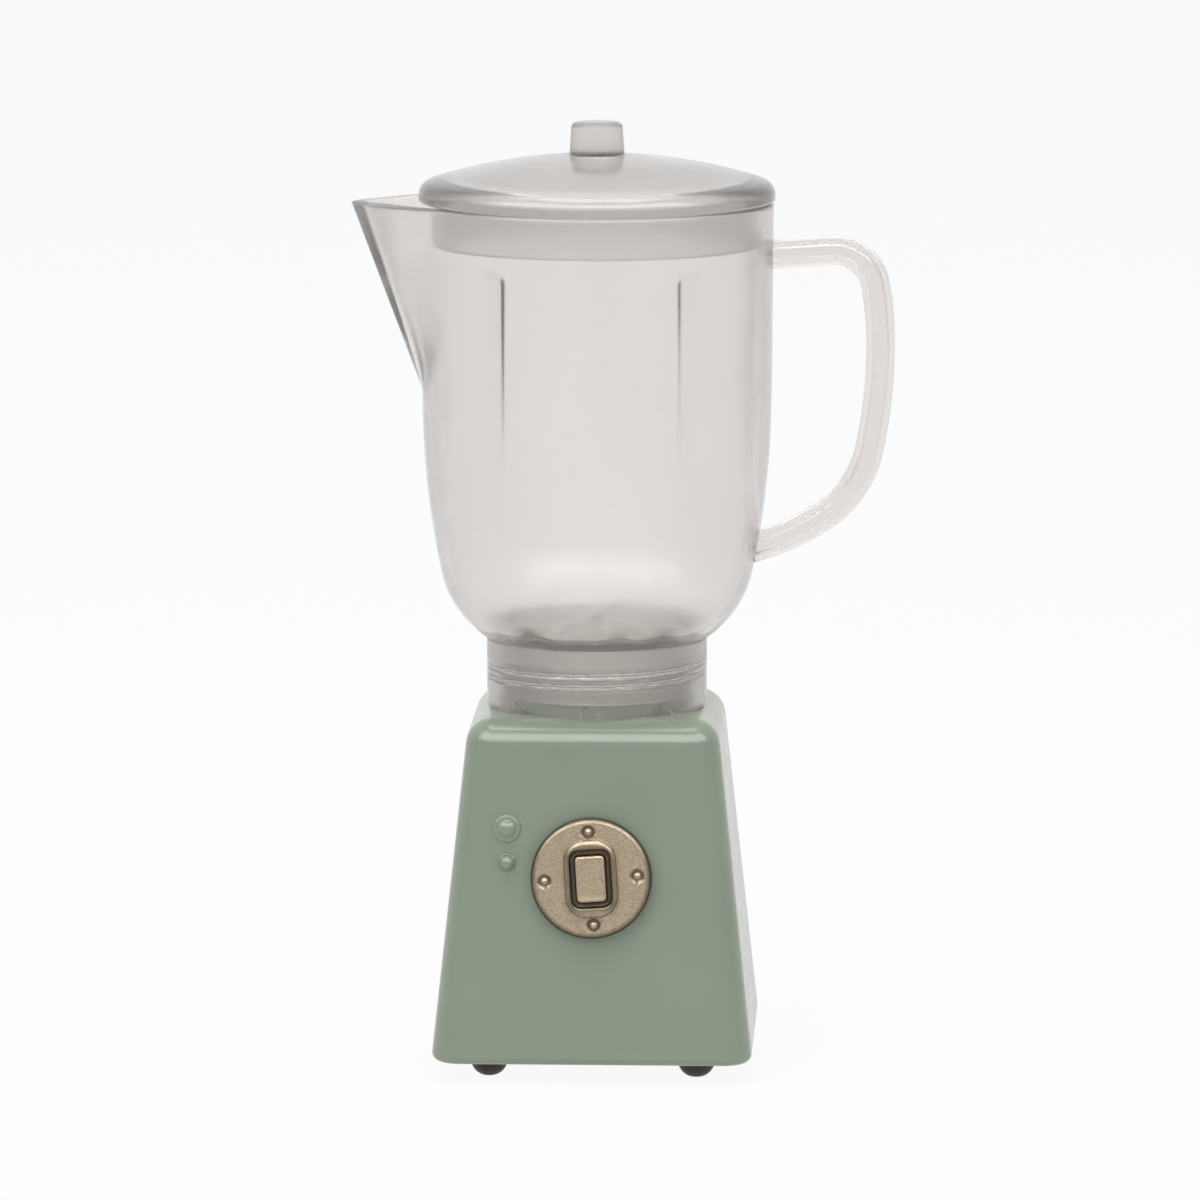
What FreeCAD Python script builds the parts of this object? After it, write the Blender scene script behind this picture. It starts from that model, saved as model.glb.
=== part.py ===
"""Toy blender: a green base with a turning dial, a clear lift-off jug and a clear lid.

Millimetres, +Z up. The dial faces -Y, the handle points to +X and the spout to -X.
Everything is built round the jug's upright axis and standing surface, then moved along X
so that the origin is the bottom centre of the whole object's box.
"""
import FreeCAD, Part
import math
import os
from FreeCAD import Placement, Rotation, Vector

# Base housing
BASE_BOTTOM_WIDTH = 30.5
BASE_TOP_WIDTH = 23.6
BASE_HEIGHT = 32.45
BASE_WALL = 1.3
BASE_TOP_WALL = 1.6
BASE_CORNER_RADIUS = 2.8
BASE_TOP_ROUNDING = 2.6
BASE_BOTTOM_ROUNDING = 0.8
CAVITY_CORNER_RADIUS = 1.5

# Round seat on top of the housing that centres the jug
SEAT_RADIUS = 8.6
SEAT_HEIGHT = 1.0
SEAT_CHAMFER = 0.3

# Pilot bumps moulded on the front of the housing: pad and dome radius, height up the housing
PILOT_OFFSET_X = -8.0
PILOT_UPPER_HEIGHT = 22.4
PILOT_UPPER_PAD_RADIUS = 1.3
PILOT_UPPER_DOME_RADIUS = 0.9
PILOT_LOWER_HEIGHT = 19.2
PILOT_LOWER_PAD_RADIUS = 0.88
PILOT_LOWER_DOME_RADIUS = 0.68
PILOT_PAD_THICKNESS = 0.25
PILOT_DOME_RISE = 0.45

# Bottom plate, its screws and the posts that take them
PLATE_THICKNESS = 1.5
PLATE_CLEARANCE = 0.1
SCREW_RADIUS = 0.5
SCREW_LENGTH = 5.0
SCREW_HEAD_RADIUS = 1.0
SCREW_HEAD_HEIGHT = 0.6
SCREW_HEAD_SINK = 0.2
SCREW_CLEARANCE = 0.1
SCREW_GRIP_CLEARANCE = 0.02
POST_RADIUS = 1.6
POST_HEIGHT = 7.0
POST_INTO_WALL = 0.3

# Rubber feet
FOOT_HEIGHT = 1.85
FOOT_RADIUS = 1.75
FOOT_FLAT_RADIUS = 0.65
FOOT_INSET = 5.4
FOOT_STEM_RADIUS = 0.8
FOOT_STEM_CLEARANCE = 0.03
FOOT_BEAD_RADIUS = 1.1
FOOT_BEAD_HEIGHT = 0.7

# Dial on the sloping front wall; heights are measured out from that wall
DIAL_HEIGHT = 17.8
DIAL_RADIUS = 5.72
DIAL_EDGE_THICKNESS = 1.0
DIAL_EDGE_ROUNDING = 0.55
DIAL_REST_TURN = 3.7
DIAL_BOSS_WIDTH = 5.0
DIAL_BOSS_HEIGHT = 7.4
DIAL_BOSS_RISE = 0.55
DIAL_BOSS_CORNER = 2.0
DIAL_BOSS_ROUNDING = 0.5
MOAT_MARGIN = 0.55
MOAT_DEPTH = 0.5
THRUST_WASHER_THICKNESS = 0.2
THRUST_WASHER_RADIUS = 4.35
HUB_DISC_RADIUS = 5.15
HUB_SHAFT_RADIUS = 2.5
HUB_SHAFT_LENGTH = 2.0
HUB_BORE_RADIUS = 1.9
HUB_SHOULDER_THICKNESS = 0.8
SHAFT_CLEARANCE = 0.06
STACK_CLEARANCE = 0.05
WAVE_WASHER_THICKNESS = 0.3
WAVE_WASHER_RADIUS = 4.0
CLIP_THICKNESS = 0.4
CLIP_RADIUS = 3.8
CLIP_GROOVE_DEPTH = 0.25

# Rivets through the dial face and hub
RIVET_COUNT = 4
RIVET_CIRCLE_RADIUS = 4.4
RIVET_SHANK_RADIUS = 0.25
RIVET_HEAD_RADIUS = 0.4
RIVET_RECESS_RADIUS = 0.58
RIVET_RECESS_DEPTH = 0.15
RIVET_HEAD_RISE = 0.1
RIVET_CLEARANCE = 0.03

# Push button in the dial
BUTTON_WIDTH = 2.8
BUTTON_LENGTH = 4.35
BUTTON_CORNER = 0.4
BUTTON_PROUD = 0.25
BUTTON_EDGE_ROUNDING = 0.2
BUTTON_CLEARANCE = 0.1
BUTTON_TRAVEL = 0.4
STEM_RADIUS = 0.8
STEM_CLEARANCE = 0.08
BUTTON_CLIP_RADIUS = 1.5
BUTTON_CLIP_THICKNESS = 0.3
SPRING_WIRE_RADIUS = 0.12
SPRING_WIRE_SIDES = 8
SPRING_RADIUS = 1.35
SPRING_TURNS = 4
SPRING_END_GAP = 0.05

# Jug
COLLAR_RADIUS = 10.5
COLLAR_HEIGHT = 6.5
COLLAR_BORE_RADIUS = 9.45
COLLAR_EDGE_ROUNDING = 0.2
NECK_RADIUS = 9.0
NECK_BORE_RADIUS = 8.0
NECK_LENGTH = 5.4
JAR_RADIUS = 16.8
JAR_WALL = 1.0
JAR_FLOOR = 1.3
JAR_RIM_HEIGHT = 48.2
JAR_DRAFT = 0.2
BOWL_LOW_TURN = 33.0
BOWL_MID_TURN = 78.0
BOWL_HIGH_TURN = 89.4
BOWL_RADIUS_RATIO = 8.1

# Screw thread between neck and collar
THREAD_PITCH = 1.0
THREAD_TURNS = 2.5
THREAD_RISE = 0.3
THREAD_ROOT_WIDTH = 0.42
THREAD_TIP_WIDTH = 0.2
THREAD_START = 1.7
THREAD_SINK = 0.1

# One-way wedge teeth inside the collar's lower edge
TOOTH_COUNT = 8
TOOTH_WIDTH = 2.1
TOOTH_HEIGHT = 1.1
TOOTH_DEPTH = 0.4
TOOTH_STEEP_SHARE = 0.2
TOOTH_FIRST_TURN = -91.0

# Spout
SPOUT_PROJECTION = 6.6
SPOUT_DROP = 17.6
SPOUT_TIP_ROUNDING = 0.9
SPOUT_TANGENT_SINK = 0.12

# Ribs inside the jar
RIB_COUNT = 5
RIB_HEIGHT = 1.1
RIB_BASE_WIDTH = 4.6
RIB_CREST_WIDTH = 2.4
RIB_TOP_BELOW_RIM = 5.0
RIB_BOTTOM_ABOVE_FLOOR = 2.6
RIB_EDGE_ROUNDING = 0.35

# Handle: its centre line is a straight run, five arcs with their turns in degrees, and a straight end
HANDLE_ROOT_DEPTH = 0.9
HANDLE_START_BELOW_RIM = 4.99
HANDLE_START_TURN = 3.5
HANDLE_STRAIGHT = 6.4
HANDLE_CORNER_RADIUS = 4.0
HANDLE_CORNER_TURN = -83.5
HANDLE_BACK_RADIUS = 33.0
HANDLE_BACK_TURN = -10.0
HANDLE_BELLY_RADIUS = 48.0
HANDLE_BELLY_TURN = -12.0
HANDLE_HEEL_RADIUS = 10.3
HANDLE_HEEL_TURN = -43.0
HANDLE_RETURN_RADIUS = 21.0
HANDLE_RETURN_TURN = -18.0
HANDLE_END = 1.8
HANDLE_THICKNESS = 2.7
HANDLE_BAND_THICKNESS = 1.35
HANDLE_FLANGE_WIDTH = 2.4
HANDLE_BAND_WIDTH = 3.4
HANDLE_ROOT_GAP = 0.01

# Lid
LID_OVERHANG = 0.15
LID_PLUG_SLACK = 0.3
LID_PLUG_DEPTH = 4.1
LID_PLUG_TAPER = 0.12
LID_WALL = 1.0
LID_DOME_RISE = 4.4
LID_EDGE_HEIGHT = 0.62
LID_ROLL_RADIUS = 1.4
LID_EDGE_ROUNDING = 0.3
KNOB_BASE_RADIUS = 2.6
KNOB_TOP_RADIUS = 2.45
KNOB_HEIGHT = 3.1
KNOB_ROUNDING = 0.55

UP = Vector(0, 0, 1)
BASE_BOTTOM = FOOT_HEIGHT
BASE_TOP = BASE_BOTTOM + BASE_HEIGHT
BASE_TAPER = (BASE_BOTTOM_WIDTH - BASE_TOP_WIDTH) / 2 / BASE_HEIGHT
BASE_TILT = math.degrees(math.atan(BASE_TAPER))
PLATE_TOP = BASE_BOTTOM + PLATE_THICKNESS
COLLAR_TOP = BASE_TOP + COLLAR_HEIGHT
NECK_BOTTOM = COLLAR_TOP - NECK_LENGTH
RIM = BASE_TOP + JAR_RIM_HEIGHT
JAR_FLOOR_TOP = COLLAR_TOP + JAR_FLOOR
LID_TOP = RIM + LID_DOME_RISE
LID_RADIUS = JAR_RADIUS + LID_OVERHANG
FOOT_SPACING = BASE_BOTTOM_WIDTH - 2 * FOOT_INSET
HUB_DISC_THICKNESS = BUTTON_TRAVEL + BUTTON_CLEARANCE
BUTTON_SKIRT = DIAL_EDGE_THICKNESS - HUB_DISC_THICKNESS
SPOUT_REACH = JAR_RADIUS + SPOUT_PROJECTION
HANDLE_START_X = JAR_RADIUS - HANDLE_ROOT_DEPTH
HANDLE_ARCS = ((HANDLE_CORNER_RADIUS, HANDLE_CORNER_TURN), (HANDLE_BACK_RADIUS, HANDLE_BACK_TURN),
               (HANDLE_BELLY_RADIUS, HANDLE_BELLY_TURN), (HANDLE_HEEL_RADIUS, HANDLE_HEEL_TURN),
               (HANDLE_RETURN_RADIUS, HANDLE_RETURN_TURN))


def rounded_box(width, length, height, corner):
    """Upright box centred on the axis, standing on z = 0, with rounded upright edges."""
    box = Part.makeBox(width, length, height, Vector(-width / 2, -length / 2, 0))
    upright = [edge for edge in box.Edges if abs(edge.tangentAt(edge.FirstParameter).z) > 0.9]
    return box.makeFillet(corner, upright)


def cylinder(radius, low, high, x=0.0, y=0.0):
    """Upright cylinder between two heights."""
    return Part.makeCylinder(radius, high - low, Vector(x, y, low))


def ring(outer, inner, low, high):
    """Flat ring between two heights."""
    return cylinder(outer, low, high).cut(cylinder(inner, low - 1, high + 1))


def revolve(edges):
    """Solid of revolution about the upright axis from a closed run of edges in the XZ plane."""
    face = Part.Face(Part.Wire(Part.__sortEdges__(edges)))
    solid = face.revolve(Vector(0, 0, 0), UP, 360)
    if solid.Volume < 0:
        solid.reverse()
    return solid


def line(start, end):
    """Straight edge between two (x, z) points in the XZ plane."""
    return Part.LineSegment(Vector(start[0], 0, start[1]), Vector(end[0], 0, end[1])).toShape()


def arc(start, middle, end):
    """Arc through three (x, z) points in the XZ plane."""
    points = [Vector(x, 0, z) for x, z in (start, middle, end)]
    return Part.Arc(*points).toShape()


def circles_at(shape, height, radius, tolerance=0.01):
    """Round edges of a shape at one height and radius, for rounding."""
    found = []
    for edge in shape.Edges:
        if edge.Degenerated or not isinstance(edge.Curve, Part.Circle):
            continue
        curve = edge.Curve
        if abs(curve.Center.z - height) < tolerance and abs(curve.Radius - radius) < tolerance:
            found.append(edge)
    return found


def half_width(height):
    """Half width of the housing's sharp-edged outline at a height above the floor."""
    return BASE_BOTTOM_WIDTH / 2 - BASE_TAPER * (height - BASE_BOTTOM)


def pyramid(low, high, inset, corner):
    """Part of the housing's tapering outline between two heights, set in by an amount."""
    wires = []
    for height in (low, high):
        half = half_width(height) - inset
        corners = [Vector(x, y, height) for x, y in
                   ((-half, -half), (half, -half), (half, half), (-half, half), (-half, -half))]
        wires.append(Part.makePolygon(corners))
    solid = Part.makeLoft(wires, True, True)
    slanted = [edge for edge in solid.Edges if abs(edge.tangentAt(edge.FirstParameter).z) > 0.5]
    return solid.makeFillet(corner, slanted)


def edges_at_height(shape, height, tolerance=0.01):
    """Edges of a shape that lie wholly at one height."""
    return [edge for edge in shape.Edges
            if max(abs(edge.BoundBox.ZMin - height), abs(edge.BoundBox.ZMax - height)) < tolerance]


def on_front(shape, x, height):
    """Place a shape built on z = 0 onto the sloping front wall, at a height up the housing."""
    level = BASE_BOTTOM + height
    placed = shape.copy()
    lean = Rotation(Vector(1, 0, 0), 90 - BASE_TILT)
    placed.Placement = Placement(Vector(x, -half_width(level), level), lean)
    return placed


def on_dial(shape):
    """Place a shape built round the dial's own axis, with the dial's turn at rest."""
    turned = shape.copy()
    turned.rotate(Vector(0, 0, 0), UP, DIAL_REST_TURN)
    return on_front(Part.Compound([turned]), 0, DIAL_HEIGHT).Solids[0]


def spherical_cap(radius, rise):
    """Solid cap of a sphere on z = 0, sunk a little so that it fuses."""
    sphere_radius = (radius ** 2 + rise ** 2) / (2 * rise)
    sphere = Part.makeSphere(sphere_radius, Vector(0, 0, rise - sphere_radius))
    return sphere.common(cylinder(radius, -BASE_WALL / 2, rise + 1))


def pilot_bump(pad_radius, dome_radius):
    """Round pad with a dome on it, as on the front of the housing."""
    pad = cylinder(pad_radius, -BASE_WALL / 2, PILOT_PAD_THICKNESS)
    pad = pad.makeFillet(PILOT_PAD_THICKNESS * 0.9, circles_at(pad, PILOT_PAD_THICKNESS, pad_radius))
    dome = spherical_cap(dome_radius, PILOT_DOME_RISE)
    dome.translate(Vector(0, 0, PILOT_PAD_THICKNESS))
    return pad.fuse(dome)


def quarter_turns(radius):
    """Four places on the X and Y axes at a distance from the centre."""
    return ((radius, 0), (0, radius), (-radius, 0), (0, -radius))


def post_distance():
    """Distance of the screw posts from the centre, so that each one grows into its wall."""
    inside = half_width(PLATE_TOP + POST_HEIGHT) - BASE_WALL
    return inside + POST_INTO_WALL - POST_RADIUS


def foot_places():
    """Name and place of each foot."""
    half = FOOT_SPACING / 2
    return {"foot_front_left": (-half, -half), "foot_front_right": (half, -half),
            "foot_rear_left": (-half, half), "foot_rear_right": (half, half)}


def base_shell():
    """Green housing: rounded truncated pyramid, open below, with seat, pilot bumps and posts."""
    shell = pyramid(BASE_BOTTOM, BASE_TOP, 0, BASE_CORNER_RADIUS)
    shell = shell.makeFillet(BASE_TOP_ROUNDING, edges_at_height(shell, BASE_TOP))
    shell = shell.makeFillet(BASE_BOTTOM_ROUNDING, edges_at_height(shell, BASE_BOTTOM))
    cavity = pyramid(BASE_BOTTOM - 1, BASE_TOP - BASE_TOP_WALL, BASE_WALL, CAVITY_CORNER_RADIUS)
    seat = cylinder(SEAT_RADIUS, BASE_TOP - BASE_TOP_WALL / 2, BASE_TOP + SEAT_HEIGHT)
    seat = seat.makeChamfer(SEAT_CHAMFER, circles_at(seat, BASE_TOP + SEAT_HEIGHT, SEAT_RADIUS))
    upper = pilot_bump(PILOT_UPPER_PAD_RADIUS, PILOT_UPPER_DOME_RADIUS)
    upper = on_front(upper, PILOT_OFFSET_X, PILOT_UPPER_HEIGHT)
    lower = pilot_bump(PILOT_LOWER_PAD_RADIUS, PILOT_LOWER_DOME_RADIUS)
    lower = on_front(lower, PILOT_OFFSET_X, PILOT_LOWER_HEIGHT)
    shell = shell.fuse([seat, upper, lower]).cut(cavity)
    hole_radius = SCREW_RADIUS + SCREW_GRIP_CLEARANCE
    hole_top = BASE_BOTTOM + SCREW_LENGTH + SCREW_CLEARANCE
    for x, y in quarter_turns(post_distance()):
        shell = shell.fuse(cylinder(POST_RADIUS, PLATE_TOP, PLATE_TOP + POST_HEIGHT, x, y))
        shell = shell.cut(cylinder(hole_radius, PLATE_TOP - 1, hole_top, x, y))
    shaft_hole = cylinder(HUB_SHAFT_RADIUS + SHAFT_CLEARANCE, -2 * BASE_WALL, BASE_WALL)
    shell = shell.cut(on_front(shaft_hole, 0, DIAL_HEIGHT))
    return shell.removeSplitter().Solids[0]


def bottom_plate():
    """Plate that closes the housing from below, with holes for the screws and foot stems."""
    corner = CAVITY_CORNER_RADIUS - PLATE_CLEARANCE
    plate = pyramid(BASE_BOTTOM, PLATE_TOP, BASE_WALL + PLATE_CLEARANCE, corner)
    low, high = BASE_BOTTOM - 1, PLATE_TOP + 1
    sink_top = BASE_BOTTOM + SCREW_HEAD_SINK + SCREW_HEAD_HEIGHT
    for x, y in quarter_turns(post_distance()):
        plate = plate.cut(cylinder(SCREW_RADIUS + SCREW_CLEARANCE, low, high, x, y))
        plate = plate.cut(cylinder(SCREW_HEAD_RADIUS + SCREW_CLEARANCE, low, sink_top, x, y))
    for x, y in foot_places().values():
        plate = plate.cut(cylinder(FOOT_STEM_RADIUS + FOOT_STEM_CLEARANCE, low, high, x, y))
    return plate


def plate_screws():
    """Four screws with flat round heads, up through the plate into the posts."""
    head_bottom = BASE_BOTTOM + SCREW_HEAD_SINK
    head_middle = head_bottom + SCREW_HEAD_HEIGHT / 2
    slot_width = SCREW_RADIUS / 2
    screws = []
    for x, y in quarter_turns(post_distance()):
        head = cylinder(SCREW_HEAD_RADIUS, head_bottom, head_bottom + SCREW_HEAD_HEIGHT, x, y)
        shank = cylinder(SCREW_RADIUS, head_middle, BASE_BOTTOM + SCREW_LENGTH, x, y)
        corner = Vector(x - SCREW_HEAD_RADIUS, y - slot_width / 2, head_middle - SCREW_HEAD_HEIGHT)
        slot = Part.makeBox(2 * SCREW_HEAD_RADIUS, slot_width, SCREW_HEAD_HEIGHT, corner)
        screws.append(head.fuse(shank).cut(slot))
    return Part.Compound(screws)


def foot(x, y):
    """Rubber foot: dome with a small flat, and a stem with a bead that holds it in the plate."""
    halfway = math.sqrt(0.5)
    middle_x = FOOT_FLAT_RADIUS + halfway * (FOOT_RADIUS - FOOT_FLAT_RADIUS)
    middle = (middle_x, BASE_BOTTOM - halfway * FOOT_HEIGHT)
    dome = revolve([line((0, 0), (FOOT_FLAT_RADIUS, 0)),
                    arc((FOOT_FLAT_RADIUS, 0), middle, (FOOT_RADIUS, BASE_BOTTOM)),
                    line((FOOT_RADIUS, BASE_BOTTOM), (0, BASE_BOTTOM)),
                    line((0, BASE_BOTTOM), (0, 0))])
    stem = cylinder(FOOT_STEM_RADIUS, BASE_BOTTOM - FOOT_HEIGHT / 4, PLATE_TOP)
    bead = Part.makeCone(FOOT_BEAD_RADIUS, FOOT_STEM_RADIUS, FOOT_BEAD_HEIGHT, Vector(0, 0, PLATE_TOP))
    whole = dome.fuse([stem, bead])
    whole.translate(Vector(x, y, 0))
    return whole.removeSplitter()


def wall_inside():
    """Depth of the front wall's inner face, measured square to the wall."""
    return BASE_WALL * math.cos(math.radians(BASE_TILT))


def face_bottom():
    """Height of the dial's rim off the wall."""
    return THRUST_WASHER_THICKNESS


def hub_top():
    """Height of the hub disc's front face off the wall."""
    return THRUST_WASHER_THICKNESS + HUB_DISC_THICKNESS


def dial_front():
    """Height of the dial face's flat part off the wall."""
    return face_bottom() + DIAL_EDGE_THICKNESS


def rivet_places():
    """Centres of the rivets on the dial."""
    for index in range(RIVET_COUNT):
        turn = math.radians(90 + 360 * index / RIVET_COUNT)
        yield RIVET_CIRCLE_RADIUS * math.cos(turn), RIVET_CIRCLE_RADIUS * math.sin(turn)


def button_outline(margin, low, high):
    """Block with the button's rounded outline, grown by a margin, between two heights."""
    width, length = BUTTON_WIDTH + 2 * margin, BUTTON_LENGTH + 2 * margin
    block = rounded_box(width, length, high - low, BUTTON_CORNER + margin)
    block.translate(Vector(0, 0, low))
    return block


def button_hole(low, high):
    """Opening that the button slides in."""
    return button_outline(BUTTON_CLEARANCE, low, high)


def dial_face():
    """Cap over the hub disc: rounded edge, raised centre with a moat, rivet recesses."""
    cap = cylinder(DIAL_RADIUS, face_bottom(), dial_front())
    cap = cap.makeFillet(DIAL_EDGE_ROUNDING, circles_at(cap, dial_front(), DIAL_RADIUS))
    sunk = DIAL_EDGE_THICKNESS / 2
    boss = rounded_box(DIAL_BOSS_WIDTH, DIAL_BOSS_HEIGHT, sunk + DIAL_BOSS_RISE, DIAL_BOSS_CORNER)
    boss.translate(Vector(0, 0, dial_front() - sunk))
    boss_top = dial_front() + DIAL_BOSS_RISE
    boss = boss.makeFillet(DIAL_BOSS_ROUNDING, edges_at_height(boss, boss_top))
    moat = button_outline(MOAT_MARGIN, boss_top - MOAT_DEPTH, boss_top + 1)
    cap = cap.fuse(boss).cut(moat).cut(button_hole(0, boss_top + 1))
    cap = cap.cut(cylinder(HUB_DISC_RADIUS + BUTTON_CLEARANCE / 2, -1, hub_top()))
    for x, y in rivet_places():
        cap = cap.cut(cylinder(RIVET_RECESS_RADIUS, dial_front() - RIVET_RECESS_DEPTH, boss_top, x, y))
        cap = cap.cut(cylinder(RIVET_SHANK_RADIUS + RIVET_CLEARANCE, 0, boss_top, x, y))
    return on_dial(cap)


def dial_rivets():
    """Round-headed rivets through the dial face and the hub disc."""
    seat = dial_front() - RIVET_RECESS_DEPTH
    rise = RIVET_RECESS_DEPTH + RIVET_HEAD_RISE
    rivets = []
    for x, y in rivet_places():
        head = spherical_cap(RIVET_HEAD_RADIUS, rise).common(cylinder(RIVET_HEAD_RADIUS, 0, 2 * rise))
        head.translate(Vector(x, y, seat))
        shank = cylinder(RIVET_SHANK_RADIUS, THRUST_WASHER_THICKNESS, seat + rise / 2, x, y)
        rivets.append(on_dial(head.fuse(shank)))
    return Part.Compound(rivets)


def clip_groove():
    """Depths of the shaft groove for the dial clip: the face near the wall and the far face."""
    near = -(wall_inside() + WAVE_WASHER_THICKNESS + 2 * STACK_CLEARANCE)
    return near, near - CLIP_THICKNESS


def shaft_end():
    """Depth of the hub shaft's inner end."""
    return -(wall_inside() + HUB_SHAFT_LENGTH)


def dial_hub():
    """Disc behind the dial face with a hollow shaft through the wall and a shoulder inside."""
    disc = cylinder(HUB_DISC_RADIUS, THRUST_WASHER_THICKNESS, hub_top())
    shaft = cylinder(HUB_SHAFT_RADIUS, shaft_end(), hub_top() - HUB_DISC_THICKNESS / 2)
    shoulder_top = shaft_end() + HUB_SHOULDER_THICKNESS
    bore = cylinder(HUB_BORE_RADIUS, shoulder_top, THRUST_WASHER_THICKNESS)
    stem_bore = cylinder(STEM_RADIUS + STEM_CLEARANCE, shaft_end() - 1, hub_top())
    near, far = clip_groove()
    groove = ring(2 * HUB_SHAFT_RADIUS, HUB_SHAFT_RADIUS - CLIP_GROOVE_DEPTH, far, near)
    hub = disc.fuse(shaft).cut([bore, stem_bore, groove, button_hole(THRUST_WASHER_THICKNESS, hub_top() + 1)])
    for x, y in rivet_places():
        hub = hub.cut(cylinder(RIVET_SHANK_RADIUS + RIVET_CLEARANCE, -1, hub_top() + 1, x, y))
    return on_dial(hub)


def dial_thrust_washer():
    """Thin washer between the dial and the housing."""
    inner = HUB_SHAFT_RADIUS + SHAFT_CLEARANCE
    return on_dial(ring(THRUST_WASHER_RADIUS, inner, 0, THRUST_WASHER_THICKNESS - STACK_CLEARANCE))


def dial_wave_washer():
    """Washer inside the wall that gives the dial its drag."""
    near = -wall_inside()
    inner = HUB_SHAFT_RADIUS + SHAFT_CLEARANCE
    return on_dial(ring(WAVE_WASHER_RADIUS, inner, near - WAVE_WASHER_THICKNESS, near))


def dial_clip():
    """Push-on ring in the shaft's groove."""
    near, far = clip_groove()
    inner = HUB_SHAFT_RADIUS - CLIP_GROOVE_DEPTH + SHAFT_CLEARANCE
    return on_dial(ring(CLIP_RADIUS, inner, far + STACK_CLEARANCE, near - STACK_CLEARANCE))


def button_top():
    """Height of the button's front face off the wall, at rest."""
    return dial_front() + DIAL_BOSS_RISE + BUTTON_PROUD


def button_bottom():
    """Height of the underside of the button's head, at rest."""
    return dial_front() - BUTTON_SKIRT


def button_stem_end():
    """Depth of the end of the button's stem, at rest."""
    return shaft_end() - BUTTON_CLIP_THICKNESS - STEM_RADIUS / 2


def dial_button():
    """Rounded rectangular push button with a round stem."""
    height = button_top() - button_bottom()
    head = rounded_box(BUTTON_WIDTH, BUTTON_LENGTH, height, BUTTON_CORNER)
    head.translate(Vector(0, 0, button_bottom()))
    head = head.makeFillet(BUTTON_EDGE_ROUNDING, edges_at_height(head, button_top()))
    stem = cylinder(STEM_RADIUS, button_stem_end(), button_bottom() + height / 2)
    return on_dial(head.fuse(stem))


def button_clip():
    """Ring on the stem, behind the hub, that keeps the button in."""
    ring_shape = ring(BUTTON_CLIP_RADIUS, STEM_RADIUS, shaft_end() - BUTTON_CLIP_THICKNESS, shaft_end())
    return on_dial(ring_shape)


def button_spring():
    """Coil spring round the stem, between the hub's shoulder and the button."""
    low = shaft_end() + HUB_SHOULDER_THICKNESS + SPRING_WIRE_RADIUS + SPRING_END_GAP
    high = button_bottom() - SPRING_WIRE_RADIUS - SPRING_END_GAP
    path = Part.makeHelix((high - low) / SPRING_TURNS, high - low, SPRING_RADIUS)
    path.translate(Vector(0, 0, low))
    corners = []
    for index in range(SPRING_WIRE_SIDES + 1):
        turn = 2 * math.pi * index / SPRING_WIRE_SIDES
        across = SPRING_WIRE_RADIUS * math.cos(turn)
        corners.append(Vector(SPRING_RADIUS + across, 0, low + SPRING_WIRE_RADIUS * math.sin(turn)))
    coil = Part.Wire(path.Edges).makePipeShell([Part.makePolygon(corners)], True, True)
    return on_dial(coil)


def bowl_points(inset=0.0):
    """Outline of the bowl in (x, z), from the collar up to the start of the straight wall.

    Two arcs that follow on from each other: a tight one round the foot of the bowl and a
    wide one that runs up into the wall. The directions of their ends and the ratio of their
    radii are given, and the radii are as large as the step from collar to wall makes them.
    """
    low, mid, high = (math.radians(turn) for turn in (BOWL_LOW_TURN, BOWL_MID_TURN, BOWL_HIGH_TURN))
    step = JAR_RADIUS - JAR_DRAFT - COLLAR_RADIUS
    spread = math.sin(mid) - math.sin(low) + BOWL_RADIUS_RATIO * (math.sin(high) - math.sin(mid))
    low_radius = step / spread
    high_radius = BOWL_RADIUS_RATIO * low_radius
    centre_low = (COLLAR_RADIUS - low_radius * math.sin(low), COLLAR_TOP + low_radius * math.cos(low))
    shift = low_radius - high_radius
    centre_high = (centre_low[0] + shift * math.sin(mid), centre_low[1] - shift * math.cos(mid))
    runs = ((centre_low, low_radius - inset, (low, (low + mid) / 2, mid)),
            (centre_high, high_radius - inset, ((mid + high) / 2, high)))
    return [(centre[0] + reach * math.sin(turn), centre[1] - reach * math.cos(turn))
            for centre, reach, turns in runs for turn in turns]


def jar_outside():
    """Solid outline of the bowl and wall, without the neck."""
    foot_point, low_middle, mid, high_middle, high = bowl_points()
    return revolve([line((0, COLLAR_TOP), foot_point),
                    arc(foot_point, low_middle, mid),
                    arc(mid, high_middle, high),
                    line(high, (JAR_RADIUS, RIM)),
                    line((JAR_RADIUS, RIM), (0, RIM)),
                    line((0, RIM), (0, COLLAR_TOP))])


def jar_inside():
    """Hollow of the bowl, from the jar's floor to above the rim."""
    foot_point, low_middle, mid, high_middle, high = bowl_points(JAR_WALL)
    top = RIM + JAR_WALL
    inner = JAR_RADIUS - JAR_WALL
    hollow = revolve([line((0, foot_point[1]), foot_point),
                      arc(foot_point, low_middle, mid),
                      arc(mid, high_middle, high),
                      line(high, (inner, RIM)),
                      line((inner, RIM), (inner, top)),
                      line((inner, top), (0, top)),
                      line((0, top), (0, foot_point[1]))])
    return hollow.cut(cylinder(JAR_RADIUS, foot_point[1] - 1, JAR_FLOOR_TOP))


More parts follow.
